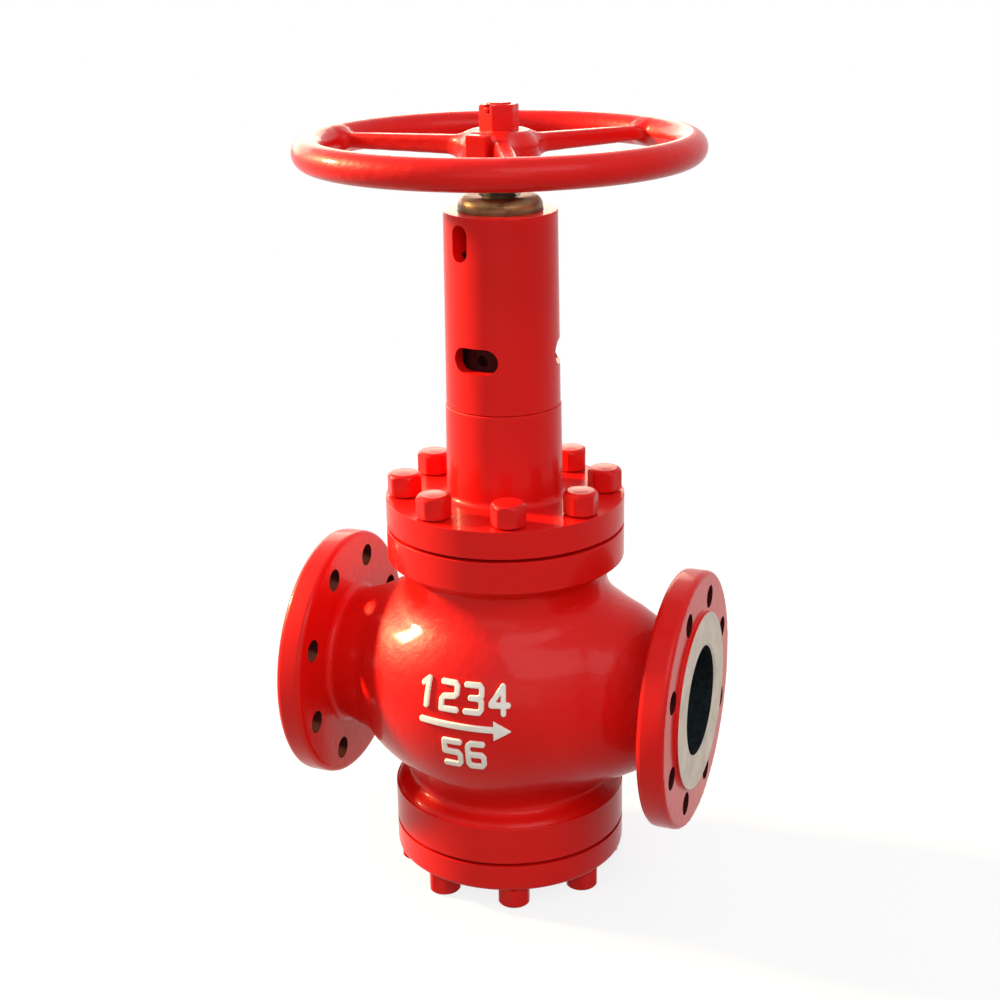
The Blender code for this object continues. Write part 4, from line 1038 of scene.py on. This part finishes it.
bpy.data.objects.remove(ridge, do_unlink=True)
dress(
    stem, "stem_and_wheel", "turned_steel", "stem", looks=(GREASED_STEEL, TURNED_RED),
    choose=lambda at, facing: 1 if at.z > HUB_TOP else 0,
)

# %% [markdown]
# ## Bronze stem nut
# The nut's collar stands on the yoke and its shoulder is a generous round.

# %% Bronze nut
LOW_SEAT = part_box("stem_nut")[0].z
nut_section = [(15.8 * MM, STEM_NUT_TOP)]
nut_section += arc((22.4 * MM, STEM_NUT_TOP - 9 * MM), 9 * MM, 90, 0, 16)
nut_section += [(31.4 * MM, LEDGE + CLEAR), (22 * MM, LEDGE + CLEAR), (22 * MM, LOW_SEAT)]
nut_section += [(14.3 * MM, LOW_SEAT), (14.3 * MM, STEM_NUT_TOP - 1.5 * MM)]
stem_nut = turned("stem_nut_bronze", nut_section)
dress(stem_nut, "valve", "bronze", "stem_nut", looks=(BRONZE,))

# %% [markdown]
# ## The handwheel
# The wheel is one casting: a round rim, three rounded spokes and a hub. Distances give the rounds
# at both ends of each spoke. The square hole and the flat for the lock screw are cut afterwards.

# %% Handwheel
RIM_CENTRE, RIM_R = 138.75 * MM, 11.25 * MM
HUB_R, HUB_TAPER = 29 * MM, 8 * MM
SPOKES = [math.radians(a) for a in (-65, 55, 175)]


def wheel(x, y, z):
    across = np.hypot(x, y)
    rim = np.hypot(across - RIM_CENTRE, z) - RIM_R
    middle, half = (HUB_TOP + HUB_BOTTOM) / 2 - WHEEL_Z, (HUB_TOP - HUB_BOTTOM) / 2
    slope = np.clip((np.abs(z - middle) - half / 2) / (half / 2), 0, 1)
    hub = shave((across - HUB_R + HUB_TAPER * slope) * 0.7, np.abs(z - middle) - half, 2 * MM)
    whole = None
    for a in SPOKES:
        out = x * math.cos(a) + y * math.sin(a)
        side = -x * math.sin(a) + y * math.cos(a)
        share = np.clip(out / RIM_CENTRE, 0, 1)
        wide = np.abs(side) - (6.4 - 0.8 * share) * MM
        tall = np.abs(z - MM * (1 - share)) - (7.4 - 2 * share) * MM
        bar = shave(wide, tall, 3 * MM)
        bar = np.maximum(bar, np.maximum(-out, out - RIM_CENTRE))
        whole = bar if whole is None else np.minimum(whole, bar)
    return blend(blend(whole, hub, 9 * MM), rim, 7 * MM)


WHEEL_CELL = 2 * MM
points, faces = skin(wheel, (-0.153, -0.153, -0.026), (0.153, 0.153, 0.014), WHEEL_CELL)
points[:, 2] += WHEEL_Z
wheel_piece = mesh_object("handwheel_painted", points, faces)


def block(name, size, matrix):
    work = bmesh.new()
    bmesh.ops.create_cube(work, size=1, matrix=matrix @ Matrix.Diagonal((*size, 1)))
    return from_bmesh(name, work)


at_hub = Matrix.Translation((0, 0, WHEEL_Z)) @ WHEEL_TURN
hole = block("square_hole", (19.6 * MM, 19.6 * MM, 0.12), at_hub)
LOCK_Z, LOCK_SHIFT = WHEEL_Z + 2.6 * MM, 1.5 * MM
at_lock = Matrix.Translation((0, 0, LOCK_Z)) @ WHEEL_TURN
at_flat = at_lock @ Matrix.Translation((32 * MM, LOCK_SHIFT, 0))
flat = block("lock_flat", (9 * MM, 17.6 * MM, 20 * MM), at_flat)
cut(wheel_piece, "DIFFERENCE", hole, flat)
dress(wheel_piece, "stem_and_wheel", "red_paint", "handwheel", looks=(CAST_RED,), angle=50)

# %% [markdown]
# ## Wheel nut and lock screw
# The slotted nut on top, with a pin through its slot, and the square-headed screw in the hub keep
# the wheel on its stem.

# %% Wheel nut and lock screw
PIN_R, NUT_TALL, SLOT_DEPTH = 1.9 * MM, 18.3 * MM, 5.5 * MM
on_hub = Matrix.Translation((0, 0, HUB_TOP + CLEAR)) @ Matrix.Rotation(math.radians(-110), 4, "Z")
top_nut = nut("wheel_nut_painted", 25.6 * MM, NUT_TALL, 9.3 * MM, 1.2 * MM, 0.8 * MM, 0.4 * MM)
top_nut.data.transform(Matrix.Rotation(math.radians(-8), 4, "Z"))
slot_at = Matrix.Translation((0, 0, NUT_TALL))
cut(top_nut, "DIFFERENCE", block("nut_slot", (60 * MM, 5 * MM, 2 * SLOT_DEPTH), slot_at))
top_nut.data.transform(on_hub)
dress(top_nut, "stem_and_wheel", "red_paint", "wheel_nut")
rod = eased([(0, 14 * MM), (PIN_R, 14 * MM), (PIN_R, -14 * MM), (0, -14 * MM)], 0.8 * MM)
pin = turned("wheel_nut_pin_painted", rod, along_x=True, segments=32)
pin.data.transform(on_hub @ Matrix.Translation((0, 0, NUT_TALL - SLOT_DEPTH + PIN_R)))
dress(pin, "stem_and_wheel", "red_paint", "wheel_nut_pin")

head = block("hub_lock_screw_painted", (9 * MM, 17 * MM, 19.4 * MM), Matrix.Identity(4))
work = bmesh.new()
work.from_mesh(head.data)
bmesh.ops.bevel(work, geom=list(work.edges), offset=1.1 * MM, segments=4, affect="EDGES", profile=0.5)
work.to_mesh(head.data)
work.free()
head.data.transform(at_lock @ Matrix.Translation((32.3 * MM, LOCK_SHIFT, 0)))
dress(head, "stem_and_wheel", "red_paint", "hub_lock_screw")

# %% [markdown]
# ## The pieces that stay as the CAD model has them
# Seats, plug, packing and bushes are inside, and the packing nut is seen only through a window.
# They keep the shapes of the CAD model and only get a finish.

# %% Carried-over pieces
KEPT = {"red_paint": TURNED_RED, "turned_steel": STEEL, "bronze": BRONZE, "graphite": GRAPHITE}
# The packing nut, seen through a window, gets the dark red of painted shade.
KEPT_NODES = {"packing_nut": PAINTED_SHADE_RED}
kept = 0
for name, node in NODES.items():
    if node.hide_render:
        continue
    for slot_row in node.material_slots:
        key = slot_row.material.name.split(".")[0]
        slot_row.material = KEPT_NODES.get(name, KEPT.get(key, STEEL))
    kept += 1
print("carried over:", kept)

# %% [markdown]
# ## Floor, backdrop and light
# The photograph is a cut-out on white, lit by a low warm sun from the left with the sky on the
# right. A small warm lamp is the sun here, and three broad faint ones are the sky, at a plain
# level. Most of what the camera sees of the floor is a white of its own. The rest is matt paint, on
# which the object's shadow shows faintly.


# %% Stage and light
SHADOW_REACH = 0.45


def seen_by_camera(sheet):
    """1 for what the camera sees, directly or in a gloss or through glass."""
    path = sheet.node("ShaderNodeLightPath", output="Is Camera Ray")
    return (path + path.part("Is Glossy Ray") + path.part("Is Transmission Ray")).clamped()


def stage_floor():
    work = bmesh.new()
    bmesh.ops.create_circle(work, cap_ends=True, segments=96, radius=9)
    floor = from_bmesh("pale_floor", work)
    material = bpy.data.materials.new("pale_floor")
    material.use_nodes = True
    sheet = Sheet(material.node_tree)
    sheet.tree.nodes.clear()
    seen = seen_by_camera(sheet)
    values = {0: seen, 6: (0.18, 0.18, 0.18, 1), 7: (0.85, 0.85, 0.85, 1)}
    shade = sheet.node("ShaderNodeMix", {"data_type": "RGBA"}, values, output=2)
    matt = sheet.node("ShaderNodeBsdfDiffuse", {}, {"Color": shade})
    white = sheet.node("ShaderNodeEmission", {}, {"Color": (1, 1, 1, 1), "Strength": 1.0})
    place = sheet.node("ShaderNodeTexCoord", output="Object")
    away = sheet.node("ShaderNodeVectorMath", {"operation": "LENGTH"}, {0: place}, "Value")
    share = ((away - SHADOW_REACH) / 1.2).clamped() * 0.16 + 0.84
    mixed = sheet.node("ShaderNodeMixShader", {}, {0: seen * share, 1: matt, 2: white})
    sheet.node("ShaderNodeOutputMaterial", {}, {"Surface": mixed}, output=None)
    floor.data.materials.append(material)


def backdrop():
    world = bpy.data.worlds.new("pale_room")
    scene.world = world
    world.use_nodes = True
    sheet = Sheet(world.node_tree)
    sheet.tree.nodes.clear()
    room = sheet.node("ShaderNodeBackground", {}, {"Color": (0.9, 0.95, 1, 1), "Strength": 0.6})
    white = sheet.node("ShaderNodeBackground", {}, {"Color": (1, 1, 1, 1), "Strength": 1.0})
    seen = seen_by_camera(sheet)
    mixed = sheet.node("ShaderNodeMixShader", {}, {0: seen, 1: room, 2: white})
    sheet.node("ShaderNodeOutputWorld", {}, {"Surface": mixed}, output=None)


def lamp(name, place, target, size, watts, colour):
    data = bpy.data.lights.new(name, "AREA")
    data.shape = "RECTANGLE"
    data.size, data.size_y = size
    data.energy = watts
    data.color = colour
    made = new_object(name, data)
    aim = (Vector(target) - Vector(place)).to_track_quat("-Z", "Y").to_matrix().to_4x4()
    made.matrix_world = Matrix.Translation(place) @ aim
    made.visible_camera = False


stage_floor()
backdrop()
lamp("sun_side", (-3.64, -0.13, 1.96), (0, 0, 0.3), (0.5, 0.5), 440, (1.0, 0.84, 0.42))
lamp("back_sky", (-1.35, 1.85, 1.05), (0, 0, 0.35), (2.2, 0.9), 28, (1.0, 0.80, 0.60))
lamp("front_sky", (1.18, -1.14, 1.77), (0, 0, 0.2), (1.6, 1.0), 17, (0.95, 0.97, 1.0))
lamp("front_side", (0.6, -2.1, 0.8), (0, 0, 0.3), (1.6, 0.8), 5, (1.0, 0.97, 0.95))
print("lit")
